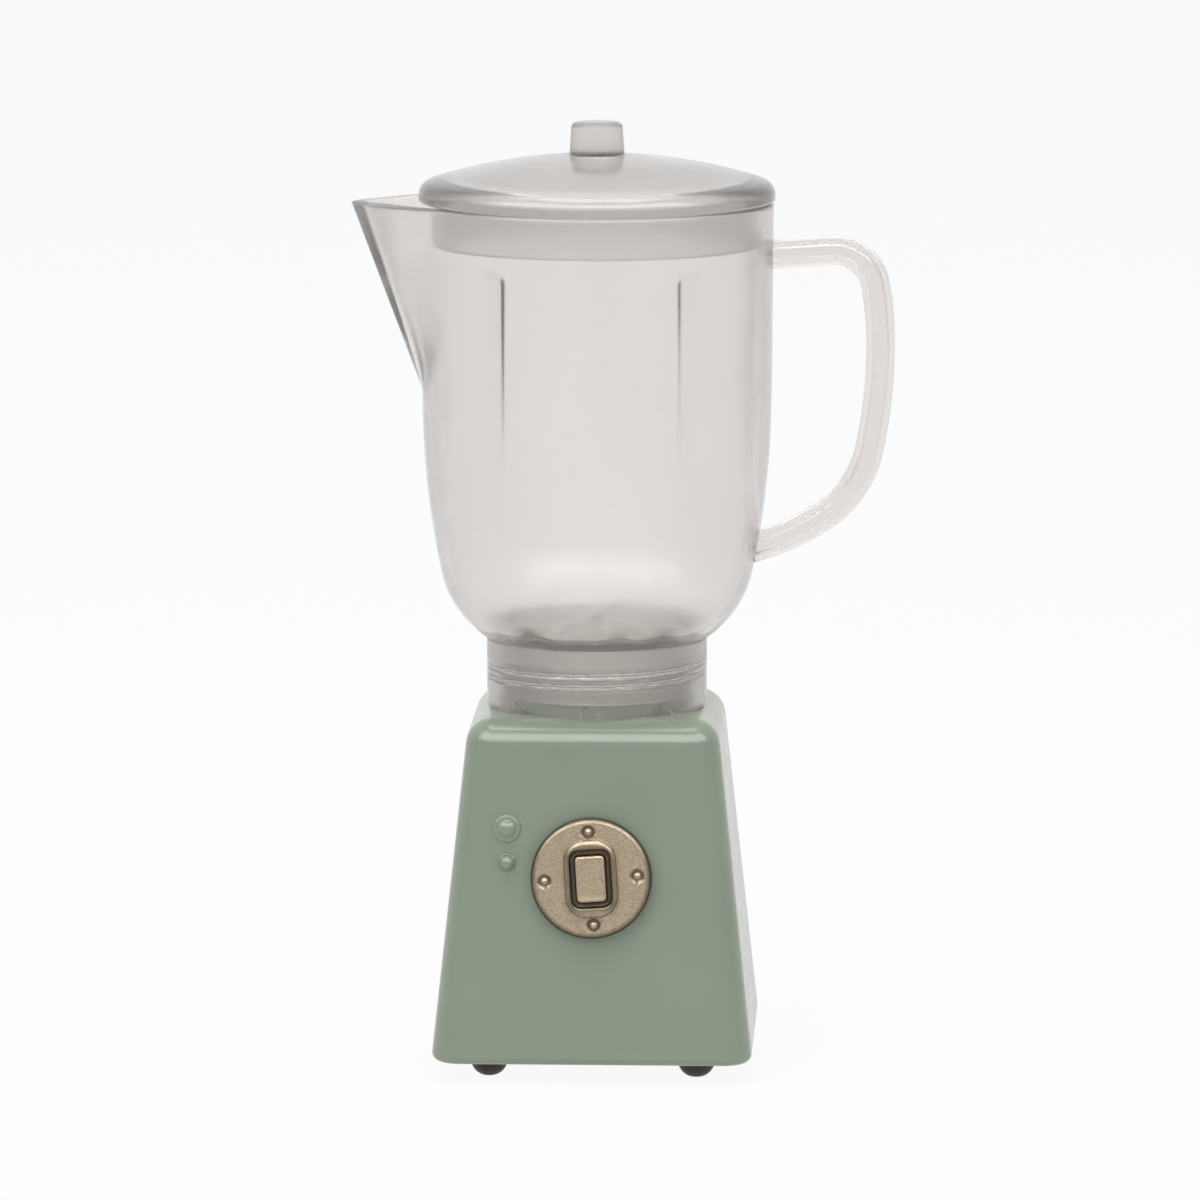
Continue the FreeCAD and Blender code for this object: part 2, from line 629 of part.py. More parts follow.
def spout_wire(height, reach, radius, rounding):
    """Outline of the spout at one height: a rounded tip with two flanks that meet the jar."""
    touch = math.acos(radius / reach)
    upper_foot = Vector(-radius * math.cos(touch), radius * math.sin(touch), height)
    lower_foot = Vector(upper_foot.x, -upper_foot.y, height)
    nose = Vector(-reach, 0, height)
    flank = upper_foot - nose
    side_turn = math.pi / 2 + math.atan2(flank.y, flank.x)
    upper = nose + Vector(rounding + rounding * math.cos(side_turn), rounding * math.sin(side_turn), 0)
    lower = Vector(upper.x, -upper.y, height)
    edges = [Part.Arc(lower, nose, upper).toShape(),
             Part.LineSegment(upper, upper_foot).toShape(),
             Part.LineSegment(upper_foot, lower_foot).toShape(),
             Part.LineSegment(lower_foot, lower).toShape()]
    return Part.Wire(edges)


def spout_solid(radius, inset, low, high):
    """Spout between two heights, following the jar's radius and the prow's straight slope."""
    wires = []
    for height in (low, high):
        reach = JAR_RADIUS + SPOUT_PROJECTION * (1 - (RIM - height) / SPOUT_DROP) - inset
        wires.append(spout_wire(height, reach, radius - SPOUT_TANGENT_SINK, SPOUT_TIP_ROUNDING - inset / 2))
    return Part.makeLoft(wires, True, True)


def thread_ridge(radius, outward, start):
    """Helical ridge of trapezoid section on a cylinder, outward or inward."""
    path = Part.makeHelix(THREAD_PITCH, THREAD_PITCH * THREAD_TURNS, radius)
    path.translate(Vector(0, 0, start))
    side = 1 if outward else -1
    root = radius - side * THREAD_SINK
    tip = radius + side * THREAD_RISE
    half_root = THREAD_ROOT_WIDTH / 2
    half_tip = THREAD_TIP_WIDTH / 2
    corners = [Vector(root, 0, start - half_root), Vector(tip, 0, start - half_tip),
               Vector(tip, 0, start + half_tip), Vector(root, 0, start + half_root),
               Vector(root, 0, start - half_root)]
    return Part.Wire(path.Edges).makePipeShell([Part.makePolygon(corners)], True, True)


def rib(turn):
    """One upright rib on the inside of the jar wall: sloping sides, rounded top."""
    inner = JAR_RADIUS - JAR_WALL
    root = JAR_RADIUS - JAR_WALL / 2
    crest = inner - RIB_HEIGHT
    low = JAR_FLOOR_TOP + RIB_BOTTOM_ABOVE_FLOOR
    high = RIM - RIB_TOP_BELOW_RIM
    corners = [Vector(root, -RIB_BASE_WIDTH / 2, low), Vector(crest, -RIB_CREST_WIDTH / 2, low),
               Vector(crest, RIB_CREST_WIDTH / 2, low), Vector(root, RIB_BASE_WIDTH / 2, low),
               Vector(root, -RIB_BASE_WIDTH / 2, low)]
    block = Part.Face(Part.makePolygon(corners)).extrude(Vector(0, 0, high - low))
    top = [edge for edge in edges_at_height(block, high) if edge.BoundBox.XMax < root]
    block = block.makeFillet(RIB_EDGE_ROUNDING, top)
    block.rotate(Vector(0, 0, 0), UP, turn)
    return block


def jar_body():
    """Clear jar: bowl, spout, ribs, floor and threaded neck."""
    low = RIM - SPOUT_DROP
    outside = jar_outside().fuse(spout_solid(JAR_RADIUS, 0, low, RIM))
    neck = cylinder(NECK_RADIUS, NECK_BOTTOM, COLLAR_TOP + JAR_FLOOR / 2)
    ridge = thread_ridge(NECK_RADIUS, True, BASE_TOP + THREAD_START)
    outside = outside.fuse(neck).fuse(ridge)
    inner = JAR_RADIUS - JAR_WALL
    tip_inset = JAR_WALL / math.sin(math.acos(JAR_RADIUS / SPOUT_REACH)) * JAR_RADIUS / SPOUT_REACH
    hollow = jar_inside().fuse(spout_solid(inner, tip_inset, low + JAR_WALL, RIM + 1))
    jar = outside.cut(hollow)
    outside_bowl = jar_outside()
    for index in range(RIB_COUNT):
        turn = 90 + 360 * index / RIB_COUNT
        jar = jar.fuse(rib(turn).common(outside_bowl))
    bore = cylinder(NECK_BORE_RADIUS, NECK_BOTTOM - 1, COLLAR_TOP)
    return jar.cut(bore).removeSplitter().Solids[0]


def handle_path():
    """Centre line of the handle in the XZ plane: a straight run, arcs and a straight end."""
    x, z = HANDLE_START_X, RIM - HANDLE_START_BELOW_RIM
    heading = math.radians(HANDLE_START_TURN)
    end = (x + HANDLE_STRAIGHT * math.cos(heading), z + HANDLE_STRAIGHT * math.sin(heading))
    edges = [line((x, z), end)]
    for radius, turn in HANDLE_ARCS:
        step = math.radians(turn)
        centre = (end[0] + radius * math.sin(heading), end[1] - radius * math.cos(heading))
        places = []
        for share in (0, 0.5, 1):
            angle = heading + share * step
            places.append((centre[0] - radius * math.sin(angle), centre[1] + radius * math.cos(angle)))
        edges.append(arc(*places))
        end = places[2]
        heading += step
    last = (end[0] + HANDLE_END * math.cos(heading), end[1] + HANDLE_END * math.sin(heading))
    edges.append(line(end, last))
    return Part.Wire(edges)


def jar_handle():
    """Clear D-shaped handle with a thicker middle band, cut to the jar's outside."""
    x, z = HANDLE_START_X, RIM - HANDLE_START_BELOW_RIM
    band = HANDLE_BAND_THICKNESS / 2
    edge = HANDLE_THICKNESS / 2
    wide = HANDLE_BAND_WIDTH / 2
    narrow = HANDLE_FLANGE_WIDTH / 2
    outline = [(narrow, -edge), (narrow, -band), (wide, -band), (wide, band), (narrow, band), (narrow, edge)]
    outline += [(-across, along) for across, along in reversed(outline)]
    corners = [Vector(x, across, z + along) for across, along in outline]
    section = Part.makePolygon(corners + corners[:1])
    section.rotate(Vector(x, 0, z), Vector(0, 1, 0), -HANDLE_START_TURN)
    handle = handle_path().makePipeShell([section], True, False)
    jar_block = jar_outside().makeOffsetShape(HANDLE_ROOT_GAP, 0.001)
    return handle.cut(jar_block).removeSplitter().Solids[0]


def screw_collar():
    """Clear ring round the neck with an inside thread and one-way wedge teeth."""
    collar = ring(COLLAR_RADIUS, COLLAR_BORE_RADIUS, BASE_TOP, COLLAR_TOP)
    rims = circles_at(collar, BASE_TOP, COLLAR_RADIUS) + circles_at(collar, COLLAR_TOP, COLLAR_RADIUS)
    collar = collar.makeFillet(COLLAR_EDGE_ROUNDING, rims)
    collar = collar.fuse(thread_ridge(COLLAR_BORE_RADIUS, False, BASE_TOP + THREAD_START + THREAD_PITCH / 2))
    half = TOOTH_WIDTH / 2
    crest = -half + TOOTH_STEEP_SHARE * TOOTH_WIDTH
    inner = COLLAR_BORE_RADIUS - TOOTH_DEPTH
    root = COLLAR_BORE_RADIUS + THREAD_SINK
    for index in range(TOOTH_COUNT):
        corners = [Vector(inner, -half, BASE_TOP), Vector(inner, half, BASE_TOP),
                   Vector(inner, crest, BASE_TOP + TOOTH_HEIGHT), Vector(inner, -half, BASE_TOP)]
        tooth = Part.Face(Part.makePolygon(corners)).extrude(Vector(root - inner, 0, 0))
        tooth.rotate(Vector(0, 0, 0), UP, TOOTH_FIRST_TURN + 360 * index / TOOTH_COUNT)
        collar = collar.fuse(tooth)
    return collar.removeSplitter().Solids[0]


def lid_dome_radius():
    """Radius at which the lid's dome, of the given rise, runs smoothly into its rolled edge."""
    reach = LID_RADIUS - LID_ROLL_RADIUS
    fall = LID_DOME_RISE - LID_EDGE_HEIGHT
    return (reach ** 2 + fall ** 2 - LID_ROLL_RADIUS ** 2) / (2 * (fall - LID_ROLL_RADIUS))


def lid():
    """Clear lid: shallow dome with a rolled edge, plug ring below and a knob on top."""
    roll_centre_x = LID_RADIUS - LID_ROLL_RADIUS
    roll_centre_z = RIM + LID_EDGE_HEIGHT
    dome_radius = lid_dome_radius()
    dome_centre = LID_TOP - dome_radius
    roll_turn = math.asin(roll_centre_x / (dome_radius - LID_ROLL_RADIUS))

    def on_dome(turn, radius):
        return radius * math.sin(turn), dome_centre + radius * math.cos(turn)

    roll_start = on_dome(roll_turn, dome_radius)
    roll_middle_turn = (roll_turn + math.pi / 2) / 2
    roll_middle = (roll_centre_x + LID_ROLL_RADIUS * math.sin(roll_middle_turn),
                   roll_centre_z + LID_ROLL_RADIUS * math.cos(roll_middle_turn))
    plug_top = JAR_RADIUS - JAR_WALL - LID_PLUG_SLACK
    plug_low = plug_top - LID_PLUG_TAPER
    plug_end = RIM - LID_PLUG_DEPTH
    inside_radius = dome_radius - LID_WALL
    inner_low = plug_low - LID_WALL
    inner_turn = math.asin(inner_low / inside_radius)
    inner_corner = on_dome(inner_turn, inside_radius)
    knob_turn = math.asin(KNOB_BASE_RADIUS / dome_radius)
    knob_foot = on_dome(knob_turn, dome_radius)
    knob_top = LID_TOP + KNOB_HEIGHT
    rounded = math.sqrt(0.5) * KNOB_ROUNDING
    knob_side = (KNOB_TOP_RADIUS, knob_top - KNOB_ROUNDING)
    knob_corner = (KNOB_TOP_RADIUS - KNOB_ROUNDING + rounded, knob_top - KNOB_ROUNDING + rounded)
    knob_flat = (KNOB_TOP_RADIUS - KNOB_ROUNDING, knob_top)
    edges = [line((0, knob_top), knob_flat),
             arc(knob_flat, knob_corner, knob_side),
             line(knob_side, knob_foot),
             arc(knob_foot, on_dome((knob_turn + roll_turn) / 2, dome_radius), roll_start),
             arc(roll_start, roll_middle, (LID_RADIUS, roll_centre_z)),
             line((LID_RADIUS, roll_centre_z), (LID_RADIUS, RIM)),
             line((LID_RADIUS, RIM), (plug_top, RIM)),
             line((plug_top, RIM), (plug_low, plug_end)),
             line((plug_low, plug_end), (inner_low, plug_end)),
             line((inner_low, plug_end), inner_corner),
             arc(inner_corner, on_dome(inner_turn / 2, inside_radius), (0, dome_centre + inside_radius)),
             line((0, dome_centre + inside_radius), (0, knob_top))]
    body = revolve(edges)
    return body.makeFillet(LID_EDGE_ROUNDING, circles_at(body, RIM, LID_RADIUS)).Solids[0]


def all_pieces():
    """Every piece by name, built round the jug's axis."""
    pieces = {"base_shell": base_shell(), "bottom_plate": bottom_plate(), "plate_screws": plate_screws()}
    for name, (x, y) in foot_places().items():
        pieces[name] = foot(x, y)
    pieces["dial_face"] = dial_face()
    pieces["dial_rivets"] = dial_rivets()
    pieces["dial_hub"] = dial_hub()
    pieces["dial_thrust_washer"] = dial_thrust_washer()
    pieces["dial_wave_washer"] = dial_wave_washer()
    pieces["dial_clip"] = dial_clip()
    pieces["dial_button"] = dial_button()
    pieces["button_clip"] = button_clip()
    pieces["button_spring"] = button_spring()
    pieces["jar_body"] = jar_body()
    pieces["jar_handle"] = jar_handle()
    pieces["screw_collar"] = screw_collar()
    pieces["lid"] = lid()
    return pieces


def main():
    """Build the pieces, centre the whole object's box on the origin and write each piece."""
    os.makedirs("parts", exist_ok=True)
    pieces = all_pieces()
    box = Part.Compound(list(pieces.values())).BoundBox
    centring = Vector(-(box.XMin + box.XMax) / 2, -(box.YMin + box.YMax) / 2, 0)
    print("moved by", round(centring.x, 4), round(centring.y, 4))
    for name, shape in pieces.items():
        shape.translate(centring)
        shape.exportStep("parts/" + name + ".step")
        print(name, "valid", shape.isValid(), "solids", len(shape.Solids), "volume", round(shape.Volume, 3))


main()
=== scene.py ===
"""Toy kitchen blender: glossy green housing with a bronze dial, a clear jug and a clear lid.

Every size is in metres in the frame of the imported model: +Z up, the dial faces -Y, the handle
points to +X and the spout to -X. The jug, the lid and the dial stand on one upright axis.
"""
import math

import bpy
import numpy as np
from bpy.props import FloatProperty, FloatVectorProperty, IntProperty, PointerProperty
from bpy.types import Operator, Panel, PropertyGroup
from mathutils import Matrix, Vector


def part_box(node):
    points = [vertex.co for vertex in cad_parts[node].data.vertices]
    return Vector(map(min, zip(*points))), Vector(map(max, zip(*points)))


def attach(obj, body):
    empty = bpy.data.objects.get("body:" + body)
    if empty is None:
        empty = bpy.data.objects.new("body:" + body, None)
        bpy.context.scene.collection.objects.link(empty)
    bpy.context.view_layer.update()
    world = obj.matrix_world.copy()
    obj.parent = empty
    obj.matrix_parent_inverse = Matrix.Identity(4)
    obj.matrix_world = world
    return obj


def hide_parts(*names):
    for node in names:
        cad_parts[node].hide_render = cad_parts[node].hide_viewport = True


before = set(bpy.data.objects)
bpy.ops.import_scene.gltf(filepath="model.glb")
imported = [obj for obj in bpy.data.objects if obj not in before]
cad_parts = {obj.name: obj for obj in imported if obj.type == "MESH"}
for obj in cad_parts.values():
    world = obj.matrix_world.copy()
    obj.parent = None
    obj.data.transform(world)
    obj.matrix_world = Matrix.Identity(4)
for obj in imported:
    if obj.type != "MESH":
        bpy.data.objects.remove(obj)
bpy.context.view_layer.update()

bl_info = {
    "name": "Toy Kitchen Blender",
    "version": (1, 0, 0),
    "blender": (4, 5, 0),
    "location": "3D View > Sidebar > Toy Blender",
    "description": "Builds a toy kitchen blender piece by piece over its packed model",
    "category": "Object",
}

MM = 0.001
AXIS_X = (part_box("lid")[0].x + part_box("lid")[1].x) / 2
RECESS_DEPTH = 0.15 * MM


# Properties

def length(name, description, millimetres):
    """A size property in metres, with its default given in millimetres."""
    return FloatProperty(name=name, description=description, default=millimetres * MM,
                         unit="LENGTH", precision=5, min=0.0)


def colour(name, description, red, green, blue):
    """A linear colour property."""
    return FloatVectorProperty(name=name, description=description, default=(red, green, blue),
                               subtype="COLOR", size=3, min=0.0, max=1.0)


class HousingSizes(PropertyGroup):
    """Sizes of the green housing."""
    bottom: length("Bottom Height", "Height of the lower edge above the ground", 1.85)
    height: length("Height", "Height of the housing itself", 32.45)
    bottom_width: length("Bottom Width", "Width across the bottom", 30.5)
    top_width: length("Top Width", "Width across the sharp-edged top", 23.6)
    corner: length("Corner Radius", "Radius of the four slanting corners", 2.8)
    top_rounding: length("Top Rounding", "Radius round the top edge", 2.6)
    bottom_rounding: length("Bottom Rounding", "Radius round the bottom edge", 0.8)
    wall: length("Wall", "Thickness of the side walls", 1.3)
    top_wall: length("Top Wall", "Thickness of the top", 1.6)
    seat_radius: length("Seat Radius", "Radius of the disc that centres the jug", 8.6)
    seat_height: length("Seat Height", "Height of the disc that centres the jug", 1.0)


class DialSizes(PropertyGroup):
    """Sizes of the dial and its button."""
    height: length("Dial Height", "Height of the dial's centre up the housing", 17.8)
    radius: length("Dial Radius", "Outer radius of the dial", 5.72)
    lift: length("Dial Lift", "Gap between the dial and the wall", 0.2)
    thickness: length("Dial Thickness", "Thickness of the dial's rim", 1.0)
    edge: length("Edge Rounding", "Radius round the dial's front edge", 0.55)
    turn: FloatProperty(name="Turn", description="Turn of the dial at rest", default=math.radians(3.7),
                        subtype="ANGLE")
    boss_width: length("Boss Width", "Width of the raised middle", 5.0)
    boss_height: length("Boss Height", "Height of the raised middle", 7.4)
    boss_rise: length("Boss Rise", "How far the middle stands out", 0.55)
    boss_corner: length("Boss Corner", "Corner radius of the raised middle", 2.0)
    button_width: length("Button Width", "Width of the push button", 2.8)
    button_height: length("Button Height", "Height of the push button", 4.35)
    button_corner: length("Button Corner", "Corner radius of the push button", 0.4)
    button_proud: length("Button Proud", "How far the button stands out of the raised middle", 0.25)
    rivet_circle: length("Rivet Circle", "Distance of the rivets from the centre", 4.4)
    rivet_radius: length("Rivet Radius", "Radius of a rivet's head", 0.4)


class JugSizes(PropertyGroup):
    """Sizes of the clear jar, its handle and its collar."""
    radius: length("Jar Radius", "Outer radius of the jar at its rim", 16.8)
    wall: length("Jar Wall", "Thickness of the jar's wall", 1.0)
    floor: length("Jar Floor", "Thickness of the jar's floor", 1.3)
    rim_height: length("Rim Height", "Height of the rim above the housing's top", 48.2)
    collar_radius: length("Collar Radius", "Outer radius of the screw collar", 10.5)
    collar_height: length("Collar Height", "Height of the screw collar", 6.5)
    collar_bore: length("Collar Bore", "Inner radius of the screw collar", 9.45)
    neck_radius: length("Neck Radius", "Outer radius of the threaded neck", 9.0)
    neck_bore: length("Neck Bore", "Inner radius of the threaded neck", 8.0)
    neck_length: length("Neck Length", "Length of the threaded neck", 5.4)
    spout_reach: length("Spout Reach", "Distance of the spout's tip from the axis", 23.4)
    spout_drop: length("Spout Drop", "Height of the spout below the rim", 17.6)
    rib_count: IntProperty(name="Rib Count", description="Number of ribs inside the jar", default=5)
    rib_height: length("Rib Height", "How far a rib stands in from the wall", 0.5)
    thread_pitch: length("Thread Pitch", "Pitch of the screw thread", 1.0)
    thread_rise: length("Thread Rise", "Height of the screw thread", 0.3)
    tooth_count: IntProperty(name="Tooth Count", description="Wedge teeth in the collar", default=8)


class LidSizes(PropertyGroup):
    """Sizes of the clear lid."""
    radius: length("Lid Radius", "Outer radius of the lid", 16.94)
    rise: length("Dome Rise", "Height of the dome above the rim", 4.4)
    edge_height: length("Edge Height", "Height of the rolled edge's centre above the rim", 0.62)
    roll: length("Roll Radius", "Radius of the rolled edge", 1.4)
    wall: length("Lid Wall", "Thickness of the lid", 1.0)
    plug_depth: length("Plug Depth", "Depth of the ring inside the jar", 4.1)
    plug_slack: length("Plug Slack", "Gap between the ring and the jar", 0.3)
    knob_base: length("Knob Base", "Radius at the foot of the knob", 2.6)
    knob_top: length("Knob Top", "Radius at the top of the knob", 2.45)
    knob_height: length("Knob Height", "Height of the knob", 3.1)
    knob_rounding: length("Knob Rounding", "Radius round the knob's top", 0.55)


class ToyColours(PropertyGroup):
    """Colours of the toy's finishes."""
    green: colour("Housing Green", "Glossy sage green of the housing", 0.262, 0.314, 0.240)
    bronze: colour("Dial Bronze", "Metallic paint of the dial", 0.385, 0.310, 0.218)
    clear: colour("Clear Plastic", "Tint of the clear plastic's surface", 0.919, 0.903, 0.892)
    smoke: colour("Clear Smoke", "Tint that deepens with the plastic's thickness", 0.50, 0.44, 0.40)
    rubber: colour("Foot Rubber", "Dark brown rubber of the feet", 0.030, 0.014, 0.010)
    # The near-black inner colour, on the thrust washer seen in the gap behind the dial, also stands in
    # for the shade in that gap.
    inner: colour("Inner Plastic", "Dark plastic behind the dial", 0.035, 0.030, 0.027)


# Shader maths

class Value:
    """A shader socket that takes part in Python arithmetic: each operation adds a Math node."""

    def __init__(self, finish, socket):
        self.finish = finish
        self.socket = socket

    def maths(self, operation, *others):
        return self.finish.node("ShaderNodeMath", {"operation": operation, "inputs": others})

    def __add__(self, other):
        return self.maths("ADD", self, other)

    def __radd__(self, other):
        return self.maths("ADD", other, self)

    def __sub__(self, other):
        return self.maths("SUBTRACT", self, other)

    def __rsub__(self, other):
        return self.maths("SUBTRACT", other, self)

    def __mul__(self, other):
        return self.maths("MULTIPLY", self, other)

    def __rmul__(self, other):
        return self.maths("MULTIPLY", other, self)

    def most(self, other):
        return self.maths("MAXIMUM", self, other)

    def held(self):
        """The value kept between 0 and 1."""
        return self.maths("MINIMUM", self.most(0.0), 1.0)


class Finish:
    """A material, or the world's shader, under construction."""

    def __init__(self, owner):
        owner.use_nodes = True
        self.owner = owner
        self.tree = owner.node_tree
        self.tree.nodes.clear()

    def node(self, kind, settings=None, sockets=None, output=0):
        """Adds a node: its settings first, then the values or links of its sockets."""
        made = self.tree.nodes.new(kind)
        sockets = dict(sockets or {})
        for key, value in (settings or {}).items():
            if key == "inputs":
                sockets.update(enumerate(value))
            elif key == "stops":
                self.set_stops(made.color_ramp, value)
            else:
                setattr(made, key, value)
        for key, value in sockets.items():
            if isinstance(value, Value):
                self.tree.links.new(value.socket, made.inputs[key])
            else:
                made.inputs[key].default_value = value
        return Value(self, made.outputs[output]) if made.outputs else None

    @staticmethod
    def set_stops(ramp, stops):
        """Gives a colour ramp its stops: (position, (red, green, blue)) pairs."""
        while len(ramp.elements) < len(stops):
            ramp.elements.new(0.5)
        for element, (position, shade) in zip(ramp.elements, stops):
            element.position = position
            element.color = (*shade, 1.0)

    def object_place(self):
        return self.node("ShaderNodeTexCoord", output="Object")

    def object_part(self, part):
        return self.node("ShaderNodeSeparateXYZ", sockets={0: self.object_place()}, output=part)

    def ray_kinds(self):
        """Whether a ray comes from the camera, from a reflection or from clear plastic."""
        return [self.node("ShaderNodeLightPath", output=f"Is {kind} Ray")
                for kind in ("Camera", "Glossy", "Transmission")]

    def noise(self, scale, detail=2.0, roughness=0.5):
        """Noise over the object's own coordinates, with its scale in cells per metre."""
        return self.node("ShaderNodeTexNoise", sockets={
            "Vector": self.object_place(), "Scale": scale, "Detail": detail, "Roughness": roughness})

    def blend(self, share, first, second):
        """Colour between two colours."""
        return self.node("ShaderNodeMix", {"data_type": "RGBA"}, {0: share, 6: first, 7: second}, 2)

    def ramp(self, value, stops):
        return self.node("ShaderNodeValToRGB", {"stops": stops}, {0: value})

    def spread(self, value, low, high, new_low, new_high):
        """Moves a value from one range to another."""
        return self.node("ShaderNodeMapRange", sockets={
            "Value": value, "From Min": low, "From Max": high, "To Min": new_low, "To Max": new_high})

    def bump(self, height, distance, strength=1.0):
        return self.node("ShaderNodeBump", sockets={
            "Height": height, "Distance": distance, "Strength": strength})

    def surface(self, shader, inside=None):
        sockets = {"Surface": shader} if inside is None else {"Surface": shader, "Volume": inside}
        self.node("ShaderNodeOutputMaterial", sockets=sockets)
        return self.owner


def new_finish(name):
    return Finish(bpy.data.materials.new(name))


def tone(shade, factor):
    """A colour made lighter or darker, with its alpha."""
    return tuple(min(1.0, part * factor) for part in shade) + (1.0,)


def green_gloss(colours):
    """Glossy moulded plastic: cloudy colour, faint orange peel and a few fine rub marks."""
    finish = new_finish("green_gloss_plastic")
    cloud = finish.noise(90.0, 3.0)
    grain = finish.noise(2600.0, 2.0)
    shade = finish.blend(finish.spread(cloud, 0.3, 0.7, 0.0, 1.0), tone(colours.green, 0.965),
                         tone(colours.green, 1.035))
    wear = finish.spread(finish.noise(420.0, 5.0, 0.7), 0.35, 0.75, 0.0, 1.0)
    shader = finish.node("ShaderNodeBsdfPrincipled", sockets={
        "Base Color": shade, "Roughness": finish.spread(wear, 0.0, 1.0, 0.16, 0.24),
        "IOR": 1.5, "Specular IOR Level": 0.5,
        "Normal": finish.bump(cloud * 0.7 + grain * 0.05, 0.00004)})
    return finish.surface(shader)


def bronze_paint(colours):
    """Metallic paint: flakes of light and dark bronze, darkened with painted shade in the hollows and at
    the rim.
    """
    finish = new_finish("bronze_flake_paint")
    flakes = finish.node("ShaderNodeTexVoronoi", {"feature": "F1"},
                         {"Vector": finish.object_place(), "Scale": 8200.0}, "Color")
    parts = finish.node("ShaderNodeSeparateColor", sockets={0: flakes}, output=0)
    fine = finish.noise(9000.0, 2.0)
    level = parts * 0.75 + fine * 0.25
    paint = finish.ramp(level, [(place, tone(colours.bronze, factor)[:3])
                                for place, factor in ((0.15, 0.78), (0.5, 1.02), (0.9, 1.25))])
    # Painted shade: this attribute blends the flakes towards a near-black bronze round the button, at
    # the rivets and at the rim.
    wash = finish.node("ShaderNodeAttribute", {"attribute_name": "wash"}, output="Fac")
    shade = finish.blend(wash, paint, tone(colours.bronze, 0.18))
    shader = finish.node("ShaderNodeBsdfPrincipled", sockets={
        "Base Color": shade, "Metallic": 0.8,
        "Roughness": finish.spread(level, 0.1, 0.9, 0.42, 0.32),
        "Normal": finish.bump(level, 0.000012)})
    return finish.surface(shader)


def clear_plastic(colours, name, depth, light_above, rough_below=0.0):
    """Clear moulded plastic, faintly tinted, with fine flow waves and a breath of haze.

    Its tint lies on the surface, darkened by the depth factor as painted shade below a height, and in
    the plastic everywhere. The moulding is duller on the spout, on the knob and below another height.
    """
    finish = new_finish(name)
    waves = finish.noise(150.0, 1.0)
    across, height = finish.object_part("X"), finish.object_part("Z")
    spout = finish.spread(across, AXIS_X - 20.5 * MM, AXIS_X - 18.0 * MM, 0.22, 0.0).held()
    # Painted shade: below this height the surface tint is darkened by the depth factor; above it the
    # tint stays plain.
    top_free_of_painted_shade = finish.spread(height, light_above - 0.3 * MM, light_above + 0.3 * MM, 0.0, 0.9)
    low = finish.spread(height, rough_below, rough_below + 1.5 * MM, 0.2, 0.0).held()
    dull = spout.most(top_free_of_painted_shade * 0.17).most(low)
    shade = finish.blend((top_free_of_painted_shade + waves * 0.1).held(), tone(colours.clear, depth),
                         tone(colours.clear, 1.0))
    body = finish.node("ShaderNodeBsdfPrincipled", sockets={
        "Base Color": shade, "Roughness": finish.spread(waves, 0.3, 0.7, 0.13, 0.18) + dull,
        "Transmission Weight": 0.95, "IOR": 1.5,
        "Normal": finish.bump(waves, 0.000006)})
    through = finish.node("ShaderNodeBsdfTransparent", sockets={"Color": (1.0, 1.0, 1.0, 1.0)})
    shadow = finish.node("ShaderNodeLightPath", output="Is Shadow Ray")
    depth = finish.node("ShaderNodeVolumeAbsorption", sockets={
        "Color": (*colours.smoke, 1.0), "Density": 110.0})
    mixed = finish.node("ShaderNodeMixShader", sockets={0: shadow, 1: body, 2: through})
    return finish.surface(mixed, depth)


def grained(name, scale, detail, spread, dark, light, roughness, bump, metallic=0.0):
    """Matte or metal finish with one fine grain in its colour, its roughness and its bumps.

    The spread is the range of the noise over which the colour runs from dark to light.
    """
    finish = new_finish(name)
    grain = finish.noise(scale, *detail)
    shader = finish.node("ShaderNodeBsdfPrincipled", sockets={
        "Base Color": finish.blend(finish.spread(grain, *spread, 0.0, 1.0), dark, light),
        "Metallic": metallic, "Roughness": finish.spread(grain, 0.3, 0.7, *roughness),
        "Normal": finish.bump(grain, bump)})
    return finish.surface(shader)


def foot_rubber(colours):
    """Matte rubber with dust in it."""
    return grained("foot_rubber", 3500.0, (4.0, 0.6), (0.35, 0.75), tone(colours.rubber, 0.8),
                   tone(colours.rubber, 1.6), (0.45, 0.6), 0.00004)


def matte_plastic(name, base):
    """Finely textured moulded plastic for the hidden pieces and the bottom plate."""
    return grained(name, 4200.0, (3.0, 0.6), (0.3, 0.7), tone(base, 0.9), tone(base, 1.1), (0.4, 0.55),
                   0.00003)


def bright_steel():
    """Plated steel, slightly darkened."""
    return grained("plated_steel", 5200.0, (4.0, 0.65), (0.3, 0.7), (0.42, 0.42, 0.43, 1.0),
                   (0.62, 0.61, 0.60, 1.0), (0.22, 0.38), 0.00002, metallic=1.0)


# Surfaces

def skin(rings, loop=False, start=None, end=None):
    """Vertices and faces of a tube through rings of points, an array of rings by points by three.

    Ring i, point j joins ring i + 1, point j + 1. A loop joins the last ring to the first; a start
    or end point closes that end with a fan. The faces are turned outwards by the sign of the
    enclosed volume, the sum over triangles of a . (b x c) / 6.
    """
    count, around = rings.shape[:2]
    points = rings.reshape(-1, 3)
    index = np.arange(count * around).reshape(count, around)
    last = index if loop else index[:-1]
    following = np.roll(index, -1, axis=0) if loop else index[1:]
    quads = np.stack([last, np.roll(last, -1, axis=1), np.roll(following, -1, axis=1), following], -1)
    faces = [quads.reshape(-1, 4)]
    for point, ring, flip in ((start, index[0], True), (end, index[-1], False)):
        if point is None:
            continue
        points = np.vstack([points, np.asarray(point, float)[None]])
        tip = np.full(around, len(points) - 1)
        fan = np.stack([ring, np.roll(ring, -1), tip], -1)
        faces.append(fan[:, ::-1] if flip else fan)
    triangles = np.vstack([faces[0][:, [0, 1, 2]], faces[0][:, [0, 2, 3]], *faces[1:]])
    corners = points[triangles]
    volume = np.einsum("ij,ij->i", corners[:, 0], np.cross(corners[:, 1], corners[:, 2])).sum()
    if volume < 0:
        faces = [part[:, ::-1] for part in faces]
    return points, faces


